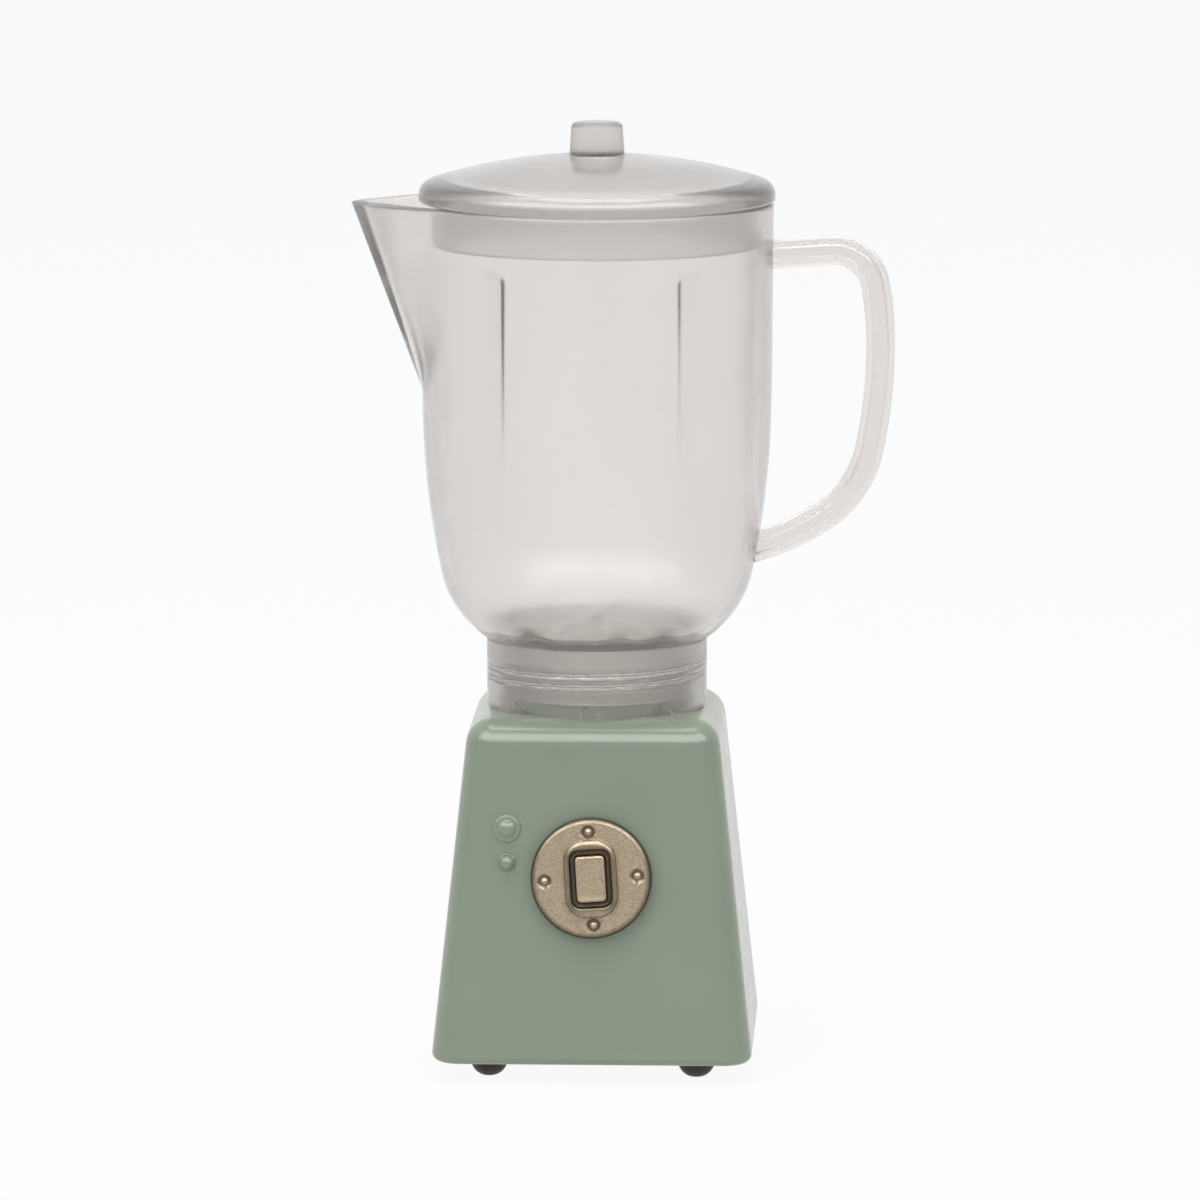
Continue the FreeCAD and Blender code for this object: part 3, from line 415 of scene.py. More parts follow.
def add_piece(name, shells, body, material, nodes, sharp_degrees=35.0, wash=None):
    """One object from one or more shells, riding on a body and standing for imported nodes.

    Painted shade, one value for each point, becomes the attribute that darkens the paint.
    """
    points = np.vstack([shell[0] for shell in shells])
    runs = []
    offset = 0
    for shell_points, faces in shells:
        runs += [part + offset for part in faces]
        offset += len(shell_points)
    sizes = np.concatenate([np.full(len(part), part.shape[1]) for part in runs])
    corners = np.concatenate([part.ravel() for part in runs]).astype(np.int32)
    mesh = bpy.data.meshes.new(name)
    mesh.vertices.add(len(points))
    mesh.vertices.foreach_set("co", points.astype(np.float32).ravel())
    mesh.loops.add(len(corners))
    mesh.loops.foreach_set("vertex_index", corners)
    mesh.polygons.add(len(sizes))
    mesh.polygons.foreach_set("loop_start", (np.cumsum(sizes) - sizes).astype(np.int32))
    mesh.update(calc_edges=True)
    mesh.validate()
    if wash is not None:
        mesh.attributes.new("wash", "FLOAT", "POINT").data.foreach_set("value", wash.astype(np.float32))
    mesh.shade_smooth()
    mesh.set_sharp_from_angle(angle=math.radians(sharp_degrees))
    mesh.materials.append(material)
    piece = bpy.data.objects.new(name, mesh)
    bpy.context.scene.collection.objects.link(piece)
    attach(piece, body)
    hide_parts(*nodes)
    return piece


def run(start, end, count):
    """Points on a straight run, closer together at both ends so that flat faces shade flat."""
    share = np.linspace(0.0, 1.0, count)
    share = np.unique(np.concatenate([[0.0, 0.02, 0.98, 1.0], share[1:-1]]))
    return np.asarray(start) + share[:, None] * (np.asarray(end) - np.asarray(start))


def sweep(centre, radius, first, last, count):
    """Points on an arc: centre + radius (cos a, sin a), with a from first to last in degrees."""
    turn = np.radians(np.linspace(first, last, count))
    return np.asarray(centre) + radius * np.stack([np.cos(turn), np.sin(turn)], -1)


def join_runs(*runs):
    """One profile from several, without the doubled points where they meet."""
    points = np.vstack(runs)
    step = np.linalg.norm(np.diff(points, axis=0), axis=1)
    return points[np.concatenate([[True], step > 1e-8])]


def crowd(count, places, width, weight):
    """Turns from 0 to 360 degrees, crowded round some places: the density there is 1 + weight."""
    fine = np.linspace(0.0, 360.0, 7201)
    away = (fine[:, None] - np.asarray(places)[None] + 180.0) % 360.0 - 180.0
    density = 1.0 + (weight * np.exp(-(away / width) ** 2)).sum(axis=1)
    filled = np.concatenate([[0.0], np.cumsum((density[1:] + density[:-1]) / 2)])
    return np.radians(np.interp(np.linspace(0.0, filled[-1], count, endpoint=False), filled, fine))


def about_axis(radius, turn, height):
    """Points at a radius and turn about the jug's axis, at a height."""
    radius, turn, height = np.broadcast_arrays(radius, turn, height)
    return np.stack([AXIS_X + radius * np.cos(turn), radius * np.sin(turn), height], -1)


def soft_max(first, second, width):
    """The larger of two values, rounded over a width: (a + b + root((a - b)^2 + w^2)) / 2."""
    return (first + second + np.sqrt((first - second) ** 2 + width ** 2)) / 2


def soft_min(first, second, width):
    """The smaller of two values, rounded over a width: (a + b - root((a - b)^2 + w^2)) / 2."""
    return (first + second - np.sqrt((first - second) ** 2 + width ** 2)) / 2


def curve(first, bend, last, share):
    """Curve from a first to a last point, drawn towards a bend: (1-s)^2 a + 2 s (1-s) b + s^2 c."""
    return (1 - share) ** 2 * first + 2 * share * (1 - share) * bend + share ** 2 * last


def smooth(share):
    """Eases a share from 0 to 1: s^2 (3 - 2 s)."""
    return share * share * (3 - 2 * share)


def stack_rings(rings):
    """Rings of points in space, from pairs of an outline and its level."""
    return np.stack([np.concatenate([ring, np.full((len(ring), 1), level)], 1) for ring, level in rings])


def turned(profile, count):
    """Points of a (radius, height) profile turned about its own axis."""
    turn = np.linspace(0, 2 * np.pi, count, endpoint=False)
    radius, height = profile[:, 0][:, None], profile[:, 1][:, None]
    return np.stack(np.broadcast_arrays(radius * np.cos(turn), radius * np.sin(turn), height), -1)


def circle_for(points):
    """Points of the unit circle, each in the direction of one of an outline's points."""
    bearing = np.arctan2(points[:, 1], points[:, 0])
    return np.stack([np.cos(bearing), np.sin(bearing)], -1)


def quarter(count):
    """Turns from 0 to 90 degrees."""
    return np.radians(np.linspace(0, 90, count))


def cap_arc(radius, rise, base, last, count):
    """Profile of a round head, from its edge at a radius up to its top, rise above its base."""
    sphere = (radius ** 2 + rise ** 2) / (2 * rise)
    reach = math.degrees(math.asin(radius / sphere))
    return sweep((0, base + rise - sphere), sphere, 90 - reach, last, count)


def outline(corner_steps, side_steps):
    """Square to sweep a rounded outline with: points of a unit square and outward normals.

    A rounded rectangle is (half size - corner) x square + corner x normal. On a side the point of
    the square moves and the normal stays; on a corner the point stays and the normal turns.
    """
    side = np.unique(np.concatenate([[-0.97, 0.97], np.linspace(-1.0, 1.0, side_steps)]))
    squares, normals = [], []
    for quarter in range(4):
        turn = quarter * np.pi / 2
        along = np.stack([np.ones_like(side), side], -1)
        spin = np.array([[np.cos(turn), np.sin(turn)], [-np.sin(turn), np.cos(turn)]])
        squares.append(along @ spin)
        normals.append(np.repeat([[np.cos(turn), np.sin(turn)]], len(side), axis=0))
        bend = turn + np.linspace(0.0, np.pi / 2, corner_steps + 1)[1:-1]
        squares.append(np.repeat([np.array([1.0, 1.0]) @ spin], len(bend), axis=0))
        normals.append(np.stack([np.cos(bend), np.sin(bend)], -1))
    return np.vstack(squares), np.vstack(normals)


def rounded_outline(square, normal, half_x, half_y, corner):
    """Rounded rectangle on the swept square."""
    return square * [half_x - corner, half_y - corner] + normal * corner


# Heights that several pieces share

def housing_top(housing):
    return housing.bottom + housing.height


def collar_top(scene):
    return housing_top(scene.toy_housing) + scene.toy_jug.collar_height


def rim_height(scene):
    return housing_top(scene.toy_housing) + scene.toy_jug.rim_height


def front_slope(housing):
    """Slope of the housing's walls: how far a wall leans in for each unit of height."""
    return (housing.bottom_width - housing.top_width) / 2 / housing.height


def wall_at(housing, height):
    """Distance of a wall from the axis at a height above the ground, before rounding."""
    return housing.bottom_width / 2 - front_slope(housing) * (height - housing.bottom)


def on_front(housing, points, x, up):
    """Carries points (across, along, out) onto the leaning front wall, at a height up the housing."""
    lean = math.atan(front_slope(housing))
    level = housing.bottom + up
    across = AXIS_X + x + points[..., 0]
    back = -wall_at(housing, level) + points[..., 1] * math.sin(lean) - points[..., 2] * math.cos(lean)
    height = level + points[..., 1] * math.cos(lean) + points[..., 2] * math.sin(lean)
    return np.stack([across, back, height], -1)


def on_dial(scene, points):
    """Carries points built round the dial's own axis onto the housing, with the dial's rest turn."""
    dial = scene.toy_dial
    cosine, sine = math.cos(dial.turn), math.sin(dial.turn)
    turned = np.stack([points[..., 0] * cosine - points[..., 1] * sine,
                       points[..., 0] * sine + points[..., 1] * cosine, points[..., 2]], -1)
    return on_front(scene.toy_housing, turned, 0.0, dial.height)


# Pieces

def housing_shell(housing):
    """Rounded pyramid, open below.

    Each ring is a rounded square: half size h and corner c follow a profile. Up the slanting wall
    h shrinks with height and c stays; round the top edge both follow an arc, and inside the flat
    top the square turns into the circle of the seat disc.
    """
    square, normal = outline(12, 26)
    lean = math.degrees(math.atan(front_slope(housing)))
    top, low = housing_top(housing), housing.bottom

    def edge_arc(radius, level, first, last):
        centre = (wall_at(housing, level) - radius / math.cos(math.radians(lean)), level)
        return sweep(centre, radius, first, last, 12)

    lower = edge_arc(housing.bottom_rounding, low + housing.bottom_rounding, -90, lean)
    upper = edge_arc(housing.top_rounding, top - housing.top_rounding, lean, 90)
    inner_low = wall_at(housing, low) - housing.wall
    ceiling = top - housing.top_wall
    inner_high = wall_at(housing, ceiling) - housing.wall
    inside = join_runs(run((inner_high, ceiling), (inner_low, low), 16))
    side = run(lower[-1], upper[0], 30)
    inner_corner = 1.5 * MM
    cores = [inside[:, 0] - inner_corner, np.full(len(lower), lower[-1][0] - housing.corner),
             side[1:-1, 0] - housing.corner, np.full(len(upper), upper[0][0] - housing.corner)]
    profile = np.vstack([inside, lower, side[1:-1], upper])
    core = np.concatenate(cores)
    corner = np.maximum(profile[:, 0] - core, 0.1 * MM)
    flat = square[None] * (profile[:, 0] - corner)[:, None, None] + normal[None] * corner[:, None, None]
    last = flat[-1]
    circle = circle_for(last)
    seat = housing.seat_radius
    rise = top + housing.seat_height
    bevel = 0.3 * MM
    crown = [(last * (1 - share) + circle * seat * share, top) for share in np.linspace(0.05, 1.0, 10)]
    crown += [(circle * seat, top + 0.05 * MM), (circle * seat, rise - bevel),
              (circle * (seat - bevel), rise), (circle * (seat - 2 * bevel), rise),
              (circle * seat * 0.5, rise), (circle * seat * 0.1, rise)]
    rings = stack_rings([*zip(flat, profile[:, 1]), *crown])
    rings[..., 0] += AXIS_X
    return skin(rings, start=(AXIS_X, 0, ceiling), end=(AXIS_X, 0, rise))


def pilot_bump(housing, up, pad, dome):
    """Round pad with a dome on it: a profile turned about the wall's normal."""
    thick, rise, sunk, place = 0.25 * MM, 0.45 * MM, -0.3 * MM, -8.0 * MM
    edge = thick * 0.9
    profile = join_runs(run((pad, sunk), (pad, thick - edge), 3),
                        sweep((pad - edge, thick - edge), edge, 0, 90, 8),
                        run((pad - edge, thick), (dome + 0.06 * MM, thick), 4),
                        cap_arc(dome, rise, thick, 89, 14))
    ends = on_front(housing, np.array([[0, 0, sunk], [0, 0, thick + rise]]), place, up)
    return skin(on_front(housing, turned(profile, 48), place, up), start=ends[0], end=ends[1])


def dial_surface(scene):
    """Dial cap as rings that turn from the button's outline into the dial's circle.

    The rings run up the button hole, over the moat and the raised middle, across the flat with its
    four rivet recesses, round the outer edge and back along the underside.
    """
    dial = scene.toy_dial
    square, normal = outline(14, 40)
    front = dial.lift + dial.thickness
    crest = front + dial.boss_rise
    half = (dial.button_width / 2, dial.button_height / 2)
    boss = (dial.boss_width / 2, dial.boss_height / 2)
    moat_floor = crest - 0.5 * MM
    hub_front = dial.lift + 0.5 * MM

    def rectangle(grow):
        return rounded_outline(square, normal, half[0] + grow, half[1] + grow, dial.button_corner + grow)

    def raised(inset):
        corner = max(dial.boss_corner - inset, 0.05 * MM)
        return rounded_outline(square, normal, boss[0] - inset, boss[1] - inset, corner)

    circle = circle_for(raised(0.0))
    hole, moat, hollow, brow, shoulder = 0.1 * MM, 0.3 * MM, 0.25 * MM, 0.2 * MM, 0.5 * MM
    rings = [(rectangle(hole), hub_front), (rectangle(hole), moat_floor - 0.02 * MM),
             (rectangle(hole + 0.02 * MM), moat_floor)]
    rings += [(rectangle(moat + hollow * np.sin(turn)), moat_floor + hollow * (1 - np.cos(turn)))
              for turn in quarter(7)]
    rings += [(rectangle(moat + hollow + brow * (1 - np.cos(turn))), crest - brow + brow * np.sin(turn))
              for turn in quarter(7)]
    outer_crest = raised(shoulder)
    inner_crest = rectangle(moat + hollow + brow)
    rings += [(inner_crest * (1 - share) + outer_crest * share, crest) for share in (0.25, 0.5, 0.75)]
    rings += [(raised(shoulder * (1 - np.sin(turn))), crest - shoulder * (1 - np.cos(turn)))
              for turn in quarter(9)]
    rings += [(raised(0.0), front + 0.03 * MM), (raised(-0.03 * MM), front)]
    flat_edge = dial.radius - dial.edge
    start_flat = raised(-0.03 * MM)
    rings += [(start_flat * (1 - share) + circle * flat_edge * share, front)
              for share in np.linspace(0.0, 1.0, 26)[1:]]
    rings += [(circle * (flat_edge + dial.edge * np.sin(turn)), front - dial.edge * (1 - np.cos(turn)))
              for turn in quarter(10)[1:]]
    recess = 5.2 * MM
    rings += [(circle * dial.radius, dial.lift), (circle * (dial.radius - 0.02 * MM), dial.lift),
              (circle * recess, dial.lift), (circle * recess, hub_front),
              (circle * recess * 0.5 + rectangle(hole) * 0.5, hub_front)]
    points = press_rivet_recesses(dial, stack_rings(rings), front)
    return skin(on_dial(scene, points), loop=True), dial_painted_shade(dial, points.reshape(-1, 3))


def dial_painted_shade(dial, points):
    """Painted shade by place on the dial: deep round the button, at the rivets' feet and at the rim."""
    spot = points[:, :2]
    beyond = np.abs(spot) - [dial.button_width / 2, dial.button_height / 2]
    distance = np.hypot(*np.maximum(beyond, 0.0).T)
    button = np.exp(-(distance / (0.95 * MM)) ** 3)
    rim = np.clip((np.hypot(*spot.T) - dial.radius + 0.72 * MM) / (0.6 * MM), 0.0, 1.0) ** 1.5
    nearest = np.linalg.norm(spot[:, None] - rivet_centres(dial)[None], axis=-1).min(axis=1)
    rivets = np.exp(-((nearest - 0.5 * MM) / (0.16 * MM)) ** 2)
    return 0.95 * np.maximum(np.maximum(button, rim), rivets)


def rivet_centres(dial):
    """The four rivets' places on the dial."""
    turns = np.arange(4) * np.pi / 2
    return dial.rivet_circle * np.stack([np.cos(turns), np.sin(turns)], -1)


def press_rivet_recesses(dial, points, front):
    """Sinks the four rivet recesses: depth falls off smoothly with distance from each rivet."""
    on_top = np.abs(points[..., 2] - front) < 0.01 * MM
    for centre in rivet_centres(dial):
        distance = np.linalg.norm(points[..., :2] - centre, axis=-1)
        share = np.clip((0.66 * MM - distance) / (0.14 * MM), 0.0, 1.0)
        points[..., 2] -= np.where(on_top, RECESS_DEPTH * smooth(share), 0.0)
    return points


def rivet_heads(scene):
    """Four round heads on short shanks, a profile turned about each rivet's axis."""
    dial = scene.toy_dial
    seat = dial.lift + dial.thickness - RECESS_DEPTH
    rise, shank = 0.3 * MM, 0.25 * MM
    profile = join_runs(run((shank, dial.lift), (shank, seat), 3),
                        run((shank, seat), (dial.rivet_radius, seat), 3),
                        cap_arc(dial.rivet_radius, rise, seat, 88, 12))
    points = turned(profile, 40)
    shells = []
    for centre in rivet_centres(dial):
        move = np.array([*centre, 0.0])
        ends = on_dial(scene, np.array([[0, 0, dial.lift], [0, 0, seat + rise]]) + move)
        shells.append(skin(on_dial(scene, points + move), start=ends[0], end=ends[1]))
    return shells


def button_surface(scene):
    """Push button: rounded rectangle rings, softly crowned, over a round stem."""
    dial = scene.toy_dial
    square, normal = outline(12, 24)
    top = dial.lift + dial.thickness + dial.boss_rise + dial.button_proud
    under = dial.lift + dial.thickness - 0.5 * MM
    half = (dial.button_width / 2, dial.button_height / 2)
    edge = 0.2 * MM

    def rectangle(inset):
        corner = max(dial.button_corner - inset, 0.02 * MM)
        return rounded_outline(square, normal, half[0] - inset, half[1] - inset, corner)

    full = rectangle(0.0)
    stem = 0.8 * MM * circle_for(full)
    wall_depth = 1.3 * MM * math.cos(math.atan(front_slope(scene.toy_housing)))
    stem_end = -wall_depth - 2.7 * MM
    rings = [(stem * 0.5, stem_end), (stem * 0.9, stem_end), (stem, stem_end + 0.08 * MM),
             (stem, under - 0.02 * MM), (stem * 1.02, under), (full * 0.98, under),
             (full, under + 0.03 * MM), (full, under + 0.1 * MM)]
    rings += [(rectangle(edge * (1 - np.cos(turn))), top - edge + edge * np.sin(turn))
              for turn in quarter(9)]
    crown = 0.03 * MM
    flat = rectangle(edge)
    rings += [(flat * share, top + crown * (1 - share ** 2) - crown) for share in (0.95, 0.7, 0.4, 0.1)]
    ends = on_dial(scene, np.array([[0, 0, stem_end], [0, 0, top]]))
    return skin(on_dial(scene, stack_rings(rings)), start=ends[0], end=ends[1])


def bowl_profile(scene, inset, count):
    """Outline of the bowl: two arcs that run into each other, from the collar up into the wall."""
    jug = scene.toy_jug
    low, mid, high = 33.0, 78.0, 89.4
    ratio = 8.1
    sines = [math.sin(math.radians(turn)) for turn in (low, mid, high)]
    step = jug.radius - 0.2 * MM - jug.collar_radius
    small = step / (sines[1] - sines[0] + ratio * (sines[2] - sines[1]))
    large = ratio * small
    centre = np.array([jug.collar_radius - small * sines[0],
                       collar_top(scene) + small * math.cos(math.radians(low))])
    shift = (small - large) * np.array([sines[1], -math.cos(math.radians(mid))])
    return join_runs(sweep(centre, small - inset, low - 90, mid - 90, count),
                     sweep(centre + shift, large - inset, mid - 90, high - 90, count))


def prow(radius, reach, turn):
    """Radius of a round jar with a pointed spout towards -X.

    The flanks leave the circle as tangents and meet at the tip: R / cos(b - |p|), where p is the
    turn away from -X and b = acos(R / reach). |p| is rounded at the tip, as root(p^2 + e^2).
    """
    away = turn % (2 * np.pi) - np.pi
    round_off = 0.035
    soft = np.sqrt(away ** 2 + round_off ** 2)
    touch = np.arccos(np.clip(radius / np.maximum(reach, radius * 1.0001), -1, 1)) + round_off
    spout = radius / np.cos(np.clip(touch - soft, 0.0, 1.4))
    return np.where(reach > radius * 1.0005, np.maximum(spout, radius), radius)


def rib_radius(jug, turn):
    """Inner face of the ribs by turn: a flat crest and two sloping sides, edges softened."""
    spacing = 2 * np.pi / jug.rib_count
    away = np.abs((turn - np.pi / 2 + spacing / 2) % spacing - spacing / 2)
    crest = jug.radius - jug.wall - jug.rib_height
    half_crest, half_root = 1.15 * MM, 2.1 * MM
    depth = jug.rib_height + jug.wall / 4
    across = half_root - half_crest
    slope = across * np.cos(away) - depth * np.sin(away)
    side = (across * crest - depth * half_crest) / np.maximum(slope, 1e-6)
    return np.minimum(soft_max(crest / np.cos(away), side, 0.36 * MM), 1.0)


def thread_height(scene, turn, height, shift=0.0):
    """Height of a screw thread at a turn and height: a trapezoid about a rising line, 0 to 1."""
    turns, pitch = 2.5, scene.toy_jug.thread_pitch
    start = housing_top(scene.toy_housing) + 1.7 * MM + shift
    best = np.zeros(np.broadcast_shapes(turn.shape, height.shape))
    for lap in range(math.ceil(turns) + 1):
        run_turns = turn / (2 * np.pi) + lap
        away = np.abs(height - start - pitch * run_turns)
        ridge = np.clip((0.28 * MM - away) / (0.2 * MM), 0.0, 1.0)
        best = np.maximum(best, np.where(run_turns <= turns, ridge, 0.0))
    return best


def jar_surface(scene):
    """Clear jar as one closed wall: under the floor, down the neck, up the outside, over the rim,
    down the ribbed inside and across the wavy floor to its gate. Radius is a function of turn and
    height."""
    jug = scene.toy_jug
    rim, foot = rim_height(scene) - 0.02 * MM, collar_top(scene)
    rib_places = 90 + 360 / jug.rib_count * np.arange(jug.rib_count)
    turn = crowd(420, np.concatenate([rib_places - 5.5, rib_places + 5.5, [180.0]]), 2.6, 2.2)
    neck_low = foot - jug.neck_length
    floor = foot + jug.floor
    outer_bowl, inner_bowl = bowl_profile(scene, 0.0, 16), bowl_profile(scene, jug.wall, 14)
    inner_radius = jug.radius - jug.wall
    rib_top = rim - 5.0 * MM
    gate, edge, lip_rise, cap = 0.6 * MM, 0.2 * MM, 0.3 * MM, 1.6 * MM
    under = join_runs(run((gate, foot), (jug.neck_bore - edge, foot), 5),
                      sweep((jug.neck_bore - edge, foot - edge), edge, 90, 0, 4),
                      run((jug.neck_bore, foot - edge), (jug.neck_bore, neck_low + edge), 4),
                      sweep((jug.neck_bore + edge, neck_low + edge), edge, 180, 270, 4),
                      sweep((jug.neck_radius - edge, neck_low + edge), edge, -90, 0, 4))
    thread_zone = np.linspace(neck_low + 0.25 * MM, foot - 1.6 * MM, 46)
    neck = np.stack([np.full(46, jug.neck_radius), thread_zone], -1)
    ledge = join_runs(run((jug.neck_radius, foot - 1.5 * MM), (jug.neck_radius, foot), 3),
                      run((jug.neck_radius, foot), (jug.collar_radius, foot), 3))
    wall = run(outer_bowl[-1], (jug.radius, rim - lip_rise), 26)
    lip = np.radians(np.linspace(0, 180, 13))[1:-1]
    inner_wall = run((inner_radius, rim - lip_rise), inner_bowl[-1], 20)
    crowded = rib_top - cap * np.linspace(0, 1, 9)
    inner_heights = np.unique(np.concatenate([inner_wall[:, 1], crowded, [rib_top + 0.02 * MM]]))[::-1]
    inner_line = np.interp(inner_heights, inner_bowl[[-1], 1].tolist() + [rim],
                           inner_bowl[[-1], 0].tolist() + [inner_radius])
    low_bowl = inner_bowl[inner_bowl[:, 1] > floor + 0.5 * MM][::-1]
    floor_edge = np.array([low_bowl[-1, 0] - 1.4 * MM, floor])
    bend = np.array([low_bowl[-1, 0] - 0.45 * MM, floor + 0.02 * MM])
    share = np.linspace(0, 1, 8)[1:, None]
    fillet = curve(low_bowl[-1], bend, floor_edge, share)
    base = join_runs(run(floor_edge, (gate, floor), 7)[1:], sweep((0.0, floor), gate, 8, 80, 5))

    outside = np.vstack([under, neck, ledge, outer_bowl[1:], wall[1:]])
    inside = np.vstack([np.stack([inner_line, inner_heights], -1)[:-1], low_bowl, fillet, base])
    lip_height = rim - lip_rise + lip_rise * np.sin(lip)
    lip_share = 0.5 - 0.5 * np.cos(lip[:, None])

    def spouted(radius, height, wall_radius, tip, start):
        """Radius at each turn, with a spout that grows from a start height to its tip at the rim."""
        reach = wall_radius + (tip - wall_radius) * (height - start) / (rim - start)
        return prow(radius, np.where(height > start, reach, 0.0), turn[None])

    def outer_at(radius, height):
        return spouted(radius, height, jug.radius, jug.spout_reach, rim - jug.spout_drop)

    def inner_at(radius, height):
        return spouted(radius, height, inner_radius, jug.spout_reach - 1.8 * MM,
                       rim - jug.spout_drop + jug.wall)

    outer = outer_at(outside[:, :1], outside[:, 1:])
    on_neck = np.abs(outside[:, :1] - jug.neck_radius) < 0.01 * MM
    outer = outer + jug.thread_rise * thread_height(scene, turn[None], outside[:, 1:]) * on_neck
    inner = inner_at(inside[:, :1], inside[:, 1:])
    window = smooth(np.clip((rib_top - inside[:, 1:]) / cap, 0.0, 1.0))
    ribbed = soft_min(inner, rib_radius(jug, turn)[None], 0.3 * MM)
    in_wall = np.clip((inside[:, 1:] - floor - 0.3 * MM) / (1.0 * MM), 0.0, 1.0)
    inner = inner - window * in_wall * (inner - ribbed)
    lip_level = np.full((len(lip), 1), rim)
    top_outer, top_inner = outer_at(jug.radius, lip_level), inner_at(inner_radius, lip_level)
    lip_radius = top_outer * (1 - lip_share) + top_inner * lip_share
    radius = np.vstack([outer, lip_radius, inner])
    heights = np.concatenate([outside[:, 1], lip_height, inside[:, 1]])[:, None]
    low = np.clip((floor + 1.3 * MM - heights) / (1.0 * MM), 0.0, 1.0) * (radius > 3.0 * MM)
    low[:len(outside) + len(lip)] = 0.0
    waves = np.sin(5 * turn + 0.6) + np.sin(9 * turn + 2.0) + np.sin(16 * turn + 4.1)
    heights = heights + low * 0.07 * MM * waves[None] * np.clip(radius / jug.neck_radius, 0.0, 1.0)
    return skin(about_axis(radius, turn[None], heights), start=(AXIS_X, 0, foot),
                end=(AXIS_X, 0, floor + gate))


def collar_surface(scene):
    """Screw collar: smooth outside; inside a thread and wedge teeth, radius by turn and height."""
    jug = scene.toy_jug
    low, high = housing_top(scene.toy_housing) + 0.02 * MM, collar_top(scene) - 0.03 * MM
    turn = np.linspace(0, 2 * np.pi, 600, endpoint=False)
    edge = 0.2 * MM
    outside = join_runs(sweep((jug.collar_radius - edge, low + edge), edge, -90, 0, 6),
                        run((jug.collar_radius, low + edge), (jug.collar_radius, high - edge), 8),
                        sweep((jug.collar_radius - edge, high - edge), edge, 0, 90, 6))
    heights = np.unique(np.concatenate([
        [high - 0.06 * MM], np.linspace(high - 0.3 * MM, low + 2.1 * MM, 20),
        np.linspace(low + 2.0 * MM, low + 0.03 * MM, 34),
        np.linspace(low + 1.9 * MM, low + 5.2 * MM, 68)]))[::-1]
    bore = jug.collar_bore
    ridge = thread_height(scene, turn[None], heights[:, None], jug.thread_pitch / 2)
    spacing = 2 * np.pi / jug.tooth_count
    first = math.radians(-91.0)
    across = ((turn - first + spacing / 2) % spacing - spacing / 2) * (bore - 0.2 * MM)
    half, tall = 1.05 * MM, 1.1 * MM
    crest = -half + 0.2 * 2 * half
    slope = np.where(across < crest, (across + half) / (crest + half), (half - across) / (half - crest))
    tooth = np.clip((tall * slope[None] - (heights[:, None] - low)) / (0.1 * MM) + 0.5, 0.0, 1.0)
    inner = bore - jug.thread_rise * ridge - 0.4 * MM * tooth
    radius = np.vstack([np.broadcast_to(outside[:, :1], (len(outside), len(turn))),
                        np.full((1, len(turn)), bore + 0.05 * MM), inner, inner[-1:] + 0.02 * MM])
    levels = np.concatenate([outside[:, 1], [high], heights, [low]])[:, None]
    return skin(about_axis(radius, turn[None], levels), loop=True)


def lid_dome_radius(lid):
    """Radius at which the dome, of the given rise, runs smoothly into the rolled edge."""
    reach = lid.radius - lid.roll
    fall = lid.rise - lid.edge_height
    return (reach ** 2 + fall ** 2 - lid.roll ** 2) / (2 * (fall - lid.roll))


def lid_surface(scene):
    """Lid as one profile turned about the axis: plug ring, underside, dome, rolled edge and knob."""
    lid, jug = scene.toy_lid, scene.toy_jug
    rim = rim_height(scene)
    dome = lid_dome_radius(lid)
    top = rim + lid.rise
    centre = (0.0, top - dome)
    roll_centre = (lid.radius - lid.roll, rim + lid.edge_height)
    roll_turn = 90 - math.degrees(math.asin(roll_centre[0] / (dome - lid.roll)))
    knob_turn = 90 - math.degrees(math.asin(lid.knob_base / dome))
    plug = jug.radius - jug.wall - lid.plug_slack
    plug_low = plug - 0.12 * MM
    plug_end = rim - lid.plug_depth
    inner_low = plug_low - lid.wall
    inside = dome - lid.wall
    inner_turn = 90 - math.degrees(math.asin(inner_low / inside))
    foot = sweep(centre, dome, knob_turn, knob_turn, 1)[0]
    corner = sweep(centre, inside, inner_turn, inner_turn, 1)[0]
    knob_top = top + lid.knob_height
    rounding = lid.knob_rounding
    edge = 0.3 * MM
    small = 0.2 * MM
    profile = join_runs(
        sweep(centre, inside, 89.5, inner_turn + 1.0, 30),
        corner + np.array([[-0.25 * MM, 0.04 * MM], [-0.06 * MM, -0.06 * MM], [0.0, -0.3 * MM]]),
        run((inner_low, corner[1] - 0.4 * MM), (inner_low, plug_end + small), 8),
        sweep((inner_low + small, plug_end + small), small, 180, 270, 5),
        sweep((plug_low - small, plug_end + small), small, -90, 0, 5),
        run((plug_low, plug_end + small), (plug, rim), 10),
        run((plug, rim), (lid.radius - edge, rim), 5),
        sweep((lid.radius - edge, rim + edge), edge, -90, 0, 7),
        run((lid.radius, rim + edge), (lid.radius, roll_centre[1]), 4),
        sweep(roll_centre, lid.roll, 0, roll_turn, 22),
        sweep(centre, dome, roll_turn, knob_turn - 0.35, 46),
        foot + np.array([[0.12 * MM, 0.0], [0.04 * MM, 0.05 * MM], [0.0, 0.16 * MM]]),
        run(foot + [0.0, 0.2 * MM], (lid.knob_top, knob_top - rounding), 9),
        sweep((lid.knob_top - rounding, knob_top - rounding), rounding, 0, 90, 12),
        run((lid.knob_top - rounding, knob_top), (0.2 * MM, knob_top), 6))
    turn = np.linspace(0, 2 * np.pi, 288, endpoint=False)
    rings = about_axis(profile[:, :1], turn[None], profile[:, 1:])
    return skin(rings, start=(AXIS_X, 0, centre[1] + inside), end=(AXIS_X, 0, knob_top))


